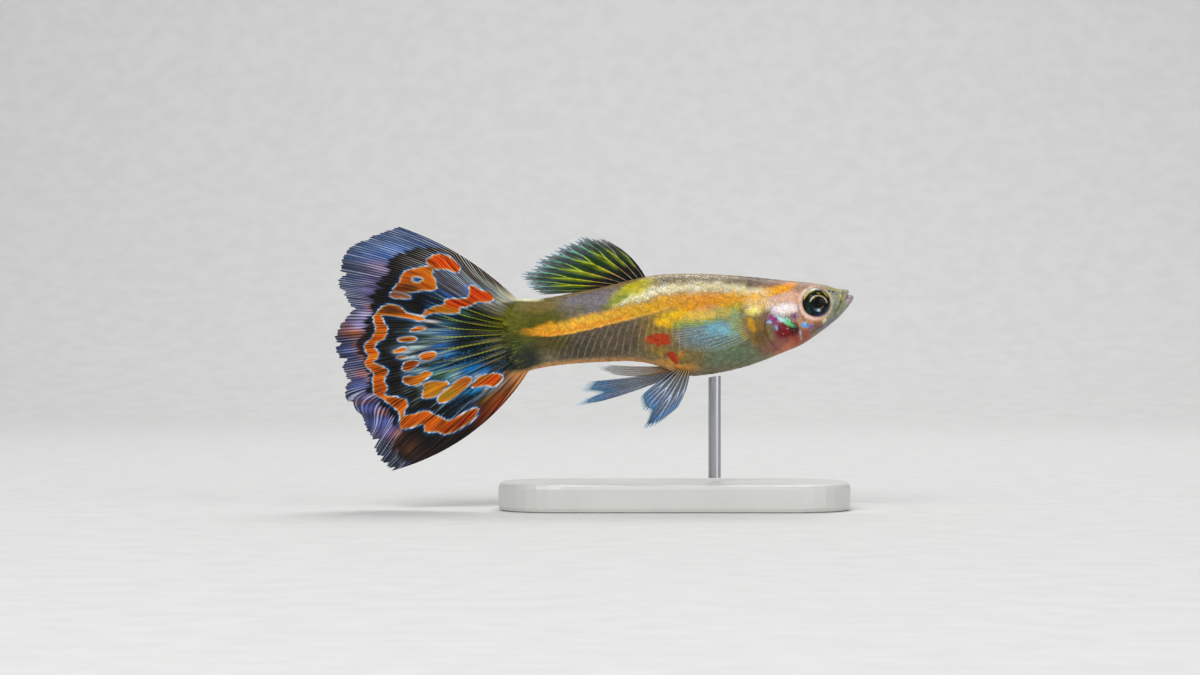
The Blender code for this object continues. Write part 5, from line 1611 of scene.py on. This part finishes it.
PECTORAL = fin_finish(
    "pectoral_web", 14, (0.5,),
    ((0.0, paint(0.80, 0.66, 0.20), 0.30),
     (0.16, paint(0.76, 0.80, 0.60), 0.08), (0.40, paint(0.80, 0.86, 0.84), 0.03),
     (1.0, paint(0.84, 0.88, 0.86), 0.02)),
    ((0.0, paint(0.86, 0.70, 0.16), 0.80),
     (0.10, paint(0.86, 0.76, 0.26), 0.55), (0.18, paint(0.74, 0.84, 0.74), 0.26),
     (0.65, paint(0.66, 0.84, 0.90), 0.22), (1.0, paint(0.80, 0.86, 0.88), 0.10)),
    ray_width=(0.14, 0.06),
)
for hand, sign in (("right", -1), ("left", 1)):
    sheet, across, along, face = fin_sheet(168, 56)
    shape_fin(
        sheet, across, along, face, 14, (0.5,), PECTORAL_ROOT, PECTORAL_MARGIN, (0.25, -0.25),
        pectoral_side(sign), web=0.02, relief=0.05, fray=0.06,
    )
    dressed(sheet, f"pectoral_web_{hand}", PECTORAL, "clear_web", f"pectoral_fin_{hand}")


# Studio
# A pale sweep of paper under and behind the stand, two wide soft lamps in front, one strip above and
# behind for the back's outline, and a long lens level with the fish.
SWEEP_HALF, SWEEP_BACK, SWEEP_FRONT, SWEEP_TOP, SWEEP_BEND = 0.9, 0.42, -0.5, 0.75, 0.16
LENS, SENSOR, VIEW_WIDE = 100.0, 36.0, 96.0 * MM
VIEW_X, VIEW_Z = 0.48 * MM, 13.73 * MM

bpy.ops.mesh.primitive_grid_add(x_subdivisions=4, y_subdivisions=60, size=2)
sweep = bpy.context.object
across, along, _ = grid_points(sweep)
floor_run, bend_run = SWEEP_BACK - SWEEP_BEND - SWEEP_FRONT, SWEEP_BEND * math.pi / 2
run = along * (floor_run + bend_run + SWEEP_TOP - SWEEP_BEND)
turn = np.clip((run - floor_run) / SWEEP_BEND, 0, math.pi / 2)
rise = np.maximum(run - floor_run - bend_run, 0)
sweep_y = SWEEP_FRONT + np.minimum(run, floor_run) + SWEEP_BEND * np.sin(turn)
sweep_z = SWEEP_BEND * (1 - np.cos(turn)) + rise
sweep_points = np.stack(((across - 0.5) * 2 * SWEEP_HALF, sweep_y, sweep_z), axis=-1)
sweep.data.vertices.foreach_set("co", sweep_points.astype(np.float32).ravel())
sweep.data.update()
bpy.ops.object.shade_smooth()
sweep.name = "paper_sweep"
add, finish, blend, step, *_ = surface_finish("sweep_paper")
fibre = add("TexNoise", {"Vector": add("TexCoord", {}, 3), "Scale": 300.0, "Detail": 3.0})
sweep_colour = blend(step(fibre, 0.3, 0.7), paint(0.88, 0.88, 0.87), paint(0.90, 0.90, 0.89))
sweep.data.materials.append(finish(Base_Color=sweep_colour, Roughness=0.85))
sweep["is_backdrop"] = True
bpy.ops.object.select_all(action="DESELECT")

for name, place, aim, size, power in (
    ("key_lamp", (-0.16, -0.34, 0.34), (0.0, 0.0, 0.012), 0.30, 1.5),
    ("fill_lamp", (0.32, -0.28, 0.12), (0.0, 0.0, 0.014), 0.30, 0.55),
    ("back_strip", (0.05, 0.22, 0.34), (0.0, 0.0, 0.014), 0.22, 0.7),
):
    lamp = bpy.data.lights.new(name, "AREA")
    lamp.shape = "SQUARE"
    lamp.size = size
    lamp.energy = power
    holder = bpy.data.objects.new(name, lamp)
    bpy.context.scene.collection.objects.link(holder)
    holder.location = place
    direction = np.array(aim) - np.array(place)
    level = math.hypot(direction[0], direction[1])
    turned = math.atan2(direction[0], -direction[1]) + math.pi
    holder.rotation_euler = (math.atan2(level, -direction[2]), 0.0, turned)

world = bpy.data.worlds.new("studio")
bpy.context.scene.world = world
world.use_nodes = True
world.node_tree.nodes["Background"].inputs["Color"].default_value = (0.9, 0.92, 1.0, 1.0)
world.node_tree.nodes["Background"].inputs["Strength"].default_value = 0.22

lens = bpy.data.cameras.new("camera")
lens.lens = LENS
lens.sensor_width = SENSOR
lens.clip_start = 0.01
camera = bpy.data.objects.new("camera", lens)
bpy.context.scene.collection.objects.link(camera)
camera.location = (VIEW_X, -VIEW_WIDE * LENS / SENSOR, VIEW_Z)
camera.rotation_euler = (math.pi / 2, 0.0, 0.0)
bpy.context.scene.camera = camera
bpy.context.scene.view_settings.view_transform = "Standard"

boxes = {"cad_box": cad_box, "visual_box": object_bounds()}
boxes = {name: [list(map(float, corner)) for corner in box] for name, box in boxes.items()}
